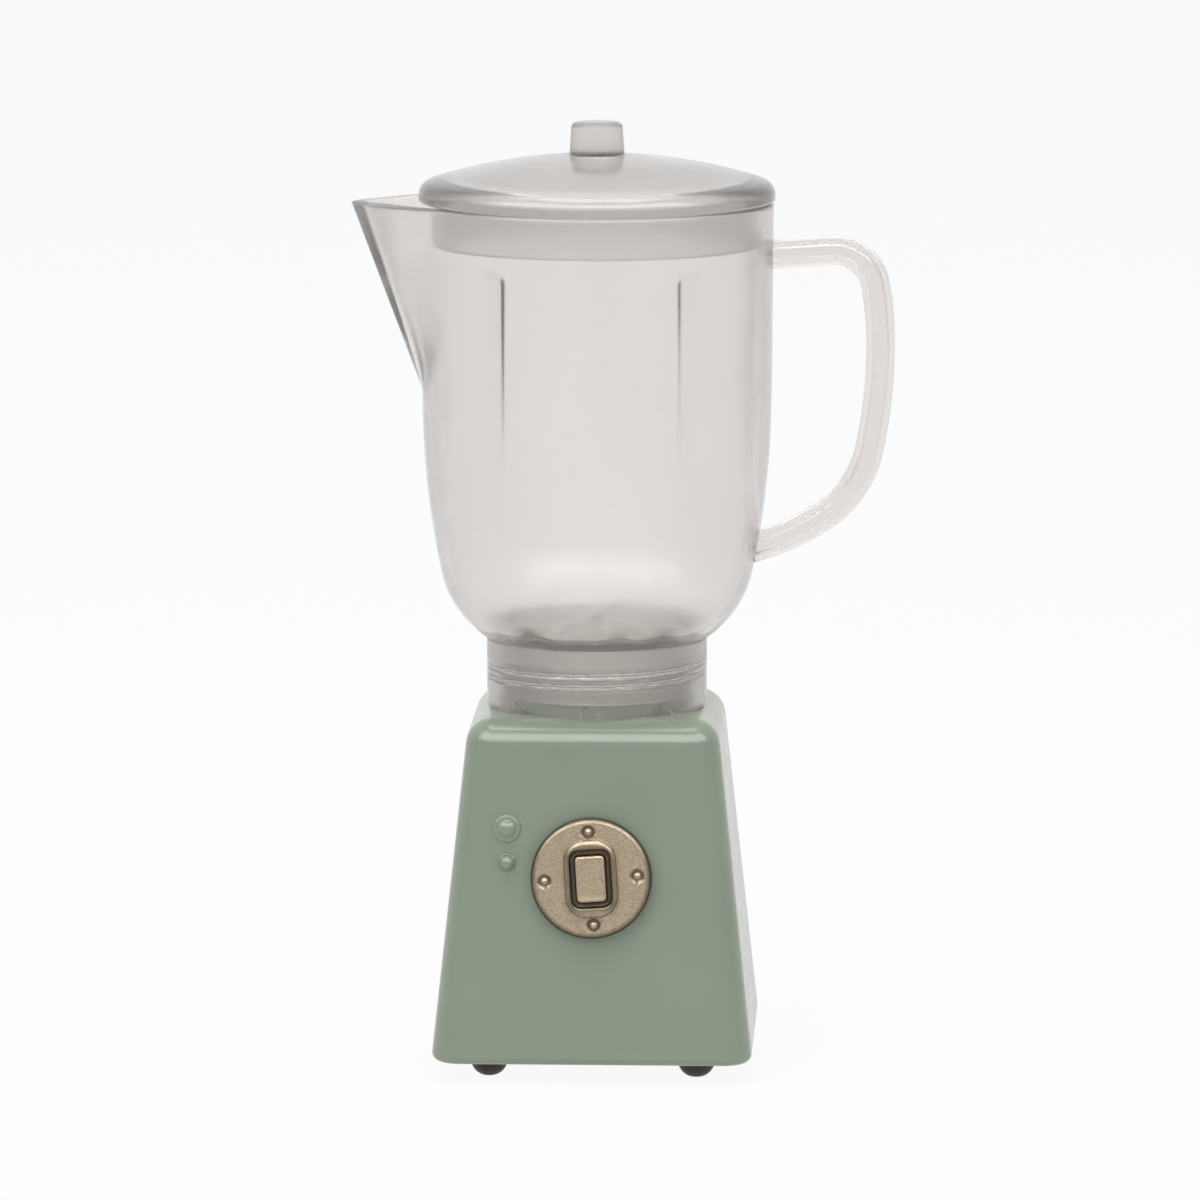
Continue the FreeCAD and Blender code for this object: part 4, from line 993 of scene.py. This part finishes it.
def handle_path(scene):
    """Centre line of the handle in (x, z) from the axis, with its heading: a run, arcs and a run."""
    jug = scene.toy_jug
    x, z = jug.radius - 0.9 * MM, rim_height(scene) - 4.99 * MM
    heading = math.radians(3.5)
    place = np.array([x, z])
    points, headings = [], []
    direction = np.array([math.cos(heading), math.sin(heading)])
    steps = np.linspace(0.5 * MM, 6.4 * MM, 14)
    points.append(place + steps[:, None] * direction)
    headings.append(np.full(14, heading))
    place = place + 6.4 * MM * direction
    for radius, bend, count in ((4.0, -83.5, 30), (33.0, -10.0, 10), (48.0, -12.0, 16),
                                (10.3, -43.0, 22), (21.0, -18.0, 14)):
        radius *= MM
        angle = heading + np.radians(bend) * np.linspace(0, 1, count + 1)[1:]
        centre = place + radius * np.array([math.sin(heading), -math.cos(heading)])
        spots = centre + radius * np.stack([-np.sin(angle), np.cos(angle)], -1)
        points.append(spots)
        headings.append(angle)
        place, heading = spots[-1], angle[-1]
    direction = np.array([math.cos(heading), math.sin(heading)])
    steps = np.array([0.4, 0.8]) * MM
    points.append(place + steps[:, None] * direction)
    headings.append(np.full(2, heading))
    return np.vstack(points), np.concatenate(headings)


def handle_section():
    """Stepped section of the handle, (across, along the bend's normal), corners rounded."""
    narrow, wide, band, edge = 1.2 * MM, 1.7 * MM, 0.675 * MM, 1.35 * MM
    half = [(narrow, -edge), (narrow, -band), (wide, -band), (wide, band), (narrow, band),
            (narrow, edge)]
    corners = np.array(half + [(-x, y) for x, y in reversed(half)])
    radius = np.where(np.isin(np.arange(12), (1, 4, 7, 10)), 0.05 * MM, 0.22 * MM)[:, None]
    before, after = np.roll(corners, 1, axis=0) - corners, np.roll(corners, -1, axis=0) - corners
    before /= np.linalg.norm(before, axis=1)[:, None]
    after /= np.linalg.norm(after, axis=1)[:, None]
    share = np.linspace(0, 1, 6)[None, :, None]
    first, last = (corners + radius * before)[:, None], (corners + radius * after)[:, None]
    return curve(first, corners[:, None], last, share).reshape(-1, 2)


def handle_surface(scene):
    """Handle: the stepped section carried along the path, its ends run out to the jar's wall."""
    jug = scene.toy_jug
    path, heading = handle_path(scene)
    section = handle_section()
    sideways = np.stack([-np.sin(heading), np.cos(heading)], -1)
    places = path[:, None] + section[None, :, 1:] * sideways[:, None]
    across = np.broadcast_to(section[None, :, 0], places.shape[:2])
    rings = np.stack([places[..., 0], across, places[..., 1]], -1)
    outer_bowl = bowl_profile(scene, 0.0, 16)
    line_z = np.concatenate([outer_bowl[:, 1], [rim_height(scene)]])
    line_r = np.concatenate([outer_bowl[:, 0], [jug.radius]])

    def run_to_jar(ring, direction):
        """Moves points along a direction until they stand just off the jar, by halving."""
        near, far = np.zeros(len(ring)), np.full(len(ring), 6.0 * MM)
        for _ in range(40):
            middle = (near + far) / 2
            spot = ring + middle[:, None] * direction
            jar_radius = np.interp(spot[:, 2], line_z, line_r) + 0.01 * MM
            outside = np.hypot(spot[:, 0], spot[:, 1]) > jar_radius
            near, far = np.where(outside, middle, near), np.where(outside, far, middle)
        return ring + near[:, None] * direction

    start_way = np.array([-math.cos(heading[0]), 0.0, -math.sin(heading[0])])
    end_way = np.array([math.cos(heading[-1]), 0.0, math.sin(heading[-1])])
    keep = np.hypot(rings[..., 0], rings[..., 1]).min(axis=1) > jug.radius + 0.05 * MM
    keep |= rings[..., 2].max(axis=1) < rim_height(scene) - 15 * MM
    rings = rings[keep]
    first = run_to_jar(rings[0], start_way)
    last = run_to_jar(rings[-1], end_way)
    middles = [run_to_jar(ring.mean(axis=0)[None], way)[0]
               for ring, way in ((rings[0], start_way), (rings[-1], end_way))]
    rings = np.concatenate([first[None], rings, last[None]])
    shift = np.array([AXIS_X, 0, 0])
    return skin(rings + shift, start=middles[0] + shift, end=middles[1] + shift)


# Operators

class TOY_OT_housing(Operator):
    """Builds the glossy green housing with its pilot bumps"""
    bl_idname = "toy.housing"
    bl_label = "Build Housing"

    def execute(self, context):
        scene = context.scene
        housing = scene.toy_housing
        material = green_gloss(scene.toy_colours)
        shells = [housing_shell(housing), pilot_bump(housing, 22.4 * MM, 1.3 * MM, 0.9 * MM),
                  pilot_bump(housing, 19.2 * MM, 0.88 * MM, 0.68 * MM)]
        add_piece("green_housing", shells, "base", material, ["base_shell"])
        return {"FINISHED"}


class TOY_OT_dial(Operator):
    """Builds the bronze dial with its rivets and push button"""
    bl_idname = "toy.dial"
    bl_label = "Build Dial"

    def execute(self, context):
        scene = context.scene
        material = bronze_paint(scene.toy_colours)
        # The cap comes with its painted shade, one value per point: dark round the button, the rivets
        # and the rim.
        cap, wash = dial_surface(scene)
        add_piece("dial_cap", [cap], "dial", material, ["dial_face"], wash=wash)
        add_piece("dial_rivet_heads", rivet_heads(scene), "dial", material,
                  ["dial_rivets"])
        add_piece("dial_push_button", [button_surface(scene)], "button", material,
                  ["dial_button"])
        return {"FINISHED"}


class TOY_OT_jug(Operator):
    """Builds the clear jar with its ribs, spout, handle and screw collar"""
    bl_idname = "toy.jug"
    bl_label = "Build Jug"

    def execute(self, context):
        scene = context.scene
        colours = scene.toy_colours
        material = clear_plastic(colours, "clear_jug_plastic", 1.0, 1.0, collar_top(scene))
        add_piece("clear_jar", [jar_surface(scene)], "jug", material, ["jar_body"],
                  40.0)
        add_piece("clear_handle", [handle_surface(scene)], "jug", material,
                  ["jar_handle"])
        # Painted shade: the collar's tint is darkened to 0.78 below its top band.
        threaded = clear_plastic(colours, "clear_collar_plastic", 0.78, collar_top(scene) - 1.9 * MM)
        add_piece("clear_collar", [collar_surface(scene)], "jug", threaded,
                  ["screw_collar"], 40.0)
        return {"FINISHED"}


class TOY_OT_lid(Operator):
    """Builds the clear lid with its plug ring and knob"""
    bl_idname = "toy.lid"
    bl_label = "Build Lid"

    def execute(self, context):
        scene = context.scene
        knob_foot = rim_height(scene) + scene.toy_lid.rise
        # Painted shade: the lid's tint is darkened to 0.88 below the knob.
        material = clear_plastic(scene.toy_colours, "clear_lid_plastic", 0.88, knob_foot)
        add_piece("clear_lid", [lid_surface(scene)], "lid", material, ["lid"])
        return {"FINISHED"}


class TOY_OT_fittings(Operator):
    """Gives the feet, bottom plate, screws and the pieces behind the dial their finishes"""
    bl_idname = "toy.fittings"
    bl_label = "Finish Fittings"

    def execute(self, context):
        colours = context.scene.toy_colours
        rubber = foot_rubber(colours)
        steel = bright_steel()
        plate = matte_plastic("green_matte_plastic", tuple(part * 0.72 for part in colours.green))
        # Dark inner plastic for the hub and thrust washer, near-black so that it also gives painted
        # shade in the gap behind the dial.
        inner = matte_plastic("dark_inner_plastic_gap_shade", tuple(colours.inner))
        finishes = {"foot_front_left": rubber, "foot_front_right": rubber, "foot_rear_left": rubber,
                    "foot_rear_right": rubber, "bottom_plate": plate, "plate_screws": steel,
                    "button_spring": steel, "button_clip": steel, "dial_clip": steel,
                    "dial_wave_washer": steel, "dial_hub": inner, "dial_thrust_washer": inner}
        for name, material in finishes.items():
            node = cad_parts[name]
            node.data.materials.clear()
            node.data.materials.append(material)
        return {"FINISHED"}


class TOY_OT_stage(Operator):
    """Sets the white floor and background, the soft lamps and the camera"""
    bl_idname = "toy.stage"
    bl_label = "Set Stage"

    def execute(self, context):
        scene = context.scene
        scene.view_settings.view_transform = "Standard"
        self.lay_floor(scene)
        self.light_world(scene)
        for name, place, size, power, mirrored in (
                ("key_lamp", (-0.28, -0.42, 0.55), 0.6, 2.2, False),
                ("top_lamp", (0.0, 0.0, 0.70), 0.42, 2.4, True),
                ("fill_lamp", (0.5, -0.45, 0.25), 0.6, 0.9, False)):
            self.hang_lamp(scene, name, place, size, power, mirrored)
        self.aim_camera(scene)
        return {"FINISHED"}

    @staticmethod
    def lay_floor(scene):
        """White floor: a soft shadow shows, and the rest matches the background."""
        mesh = bpy.data.meshes.new("white_floor")
        half = 3.0
        mesh.from_pydata([(-half, -half, 0), (half, -half, 0), (half, half, 0), (-half, half, 0)], [],
                         [(0, 1, 2, 3)])
        floor = bpy.data.objects.new("white_floor", mesh)
        scene.collection.objects.link(floor)
        finish = new_finish("white_floor")
        direct, glossy, passing = finish.ray_kinds()
        seen = direct.most(glossy).most(passing * 0.8)
        paper = finish.node("ShaderNodeBsdfDiffuse", sockets={"Color": (0.8, 0.8, 0.8, 1.0)})
        glow = finish.node("ShaderNodeEmission", sockets={"Color": (1, 1, 1, 1), "Strength": 1.0})
        mesh.materials.append(finish.surface(finish.node("ShaderNodeMixShader", sockets={
            0: seen * 0.93, 1: paper, 2: glow})))

    @staticmethod
    def light_world(scene):
        """Even grey light, white where the camera, a reflection or the clear plastic looks back.

    The white is dimmer to the sides of the clear plastic, and reflections also show a bright
    strip of light in front, above the camera.
    """
        scene.world = bpy.data.worlds.new("studio")
        finish = Finish(scene.world)
        direct, glossy, passing = finish.ray_kinds()
        way = finish.node("ShaderNodeTexCoord", output="Generated")
        right, behind, above = (finish.node("ShaderNodeSeparateXYZ", sockets={0: way}, output=part)
                                for part in "XYZ")
        backdrop = finish.spread(behind, -0.2, 0.4, 0.0, 1.0).held()
        ceiling = finish.spread(above, 0.3, 0.9, 0.0, 0.8).held()
        screen = finish.spread(right.most(right * -1.0), 0.3, 0.85, 0.84, 0.5).held()
        low_edge = finish.spread(above, 0.38, 0.46, 0.0, 1.0).held()
        high_edge = finish.spread(above, 0.80, 0.86, 1.0, 0.0).held()
        in_front = finish.spread(behind, -0.1, -0.3, 0.0, 1.0).held()
        strip = glossy * low_edge * high_edge * in_front
        strength = direct.most(passing * screen).most(glossy * backdrop.most(ceiling))
        ambient, white, bright = (
            finish.node("ShaderNodeBackground", sockets={"Color": (1, 1, 1, 1), "Strength": level})
            for level in (0.35, 1.0, 6.0))
        mixed = finish.node("ShaderNodeMixShader", sockets={0: strength, 1: ambient, 2: white})
        lit = finish.node("ShaderNodeMixShader", sockets={0: strip, 1: mixed, 2: bright})
        finish.node("ShaderNodeOutputWorld", sockets={"Surface": lit})

    @staticmethod
    def aim(scene, name, data, place, level):
        """Sets a lamp or camera at a place, turned towards the toy's axis at a level."""
        holder = bpy.data.objects.new(name, data)
        scene.collection.objects.link(holder)
        holder.location = place
        way = Vector((AXIS_X, 0.0, level)) - Vector(place)
        holder.rotation_euler = way.to_track_quat("-Z", "Y").to_euler()
        return holder

    @staticmethod
    def hang_lamp(scene, name, place, size, power, mirrored):
        """One square soft lamp, turned towards the middle of the toy, which may show in gloss."""
        lamp = bpy.data.lights.new(name, "AREA")
        lamp.size = size
        lamp.energy = power
        holder = TOY_OT_stage.aim(scene, name, lamp, place, 0.045)
        holder.visible_glossy = mirrored
        holder.visible_transmission = False

    @staticmethod
    def aim_camera(scene):
        """Long lens, slightly above and a little to the right of the dial's own axis."""
        lens = bpy.data.cameras.new("camera")
        lens.lens = 269.9
        lens.sensor_width = 36.0
        lens.shift_x = 0.0025
        turn, away = math.radians(2.3), 0.85
        place = (AXIS_X + away * math.sin(turn), -away * math.cos(turn), 0.17)
        scene.camera = TOY_OT_stage.aim(scene, "camera", lens, place, 0.0442)


class TOY_PT_panel(Panel):
    """Lists the toy's pieces in the sidebar"""
    bl_idname = "TOY_PT_panel"
    bl_label = "Toy Blender"
    bl_space_type = "VIEW_3D"
    bl_region_type = "UI"
    bl_category = "Toy Blender"

    def draw(self, context):
        for step in STEPS:
            self.layout.operator(step.bl_idname)
        for holder in HOLDERS:
            group = getattr(context.scene, holder)
            box = self.layout.box()
            for key in group.__annotations__:
                box.prop(group, key)


HOLDERS = {"toy_housing": HousingSizes, "toy_dial": DialSizes, "toy_jug": JugSizes, "toy_lid": LidSizes,
           "toy_colours": ToyColours}
STEPS = (TOY_OT_housing, TOY_OT_dial, TOY_OT_jug, TOY_OT_lid, TOY_OT_fittings, TOY_OT_stage)


def register():
    for group in HOLDERS.values():
        bpy.utils.register_class(group)
    for step in STEPS:
        bpy.utils.register_class(step)
    bpy.utils.register_class(TOY_PT_panel)
    for holder, group in HOLDERS.items():
        setattr(bpy.types.Scene, holder, PointerProperty(type=group))


def unregister():
    for holder in HOLDERS:
        delattr(bpy.types.Scene, holder)
    bpy.utils.unregister_class(TOY_PT_panel)
    for step in reversed(STEPS):
        bpy.utils.unregister_class(step)
    for group in reversed(list(HOLDERS.values())):
        bpy.utils.unregister_class(group)


def main():
    """Builds every piece."""
    register()
    bpy.ops.toy.housing()
    bpy.ops.toy.dial()
    bpy.ops.toy.jug()
    bpy.ops.toy.lid()
    bpy.ops.toy.fittings()
    bpy.ops.toy.stage()


if __name__ == "__main__":
    main()
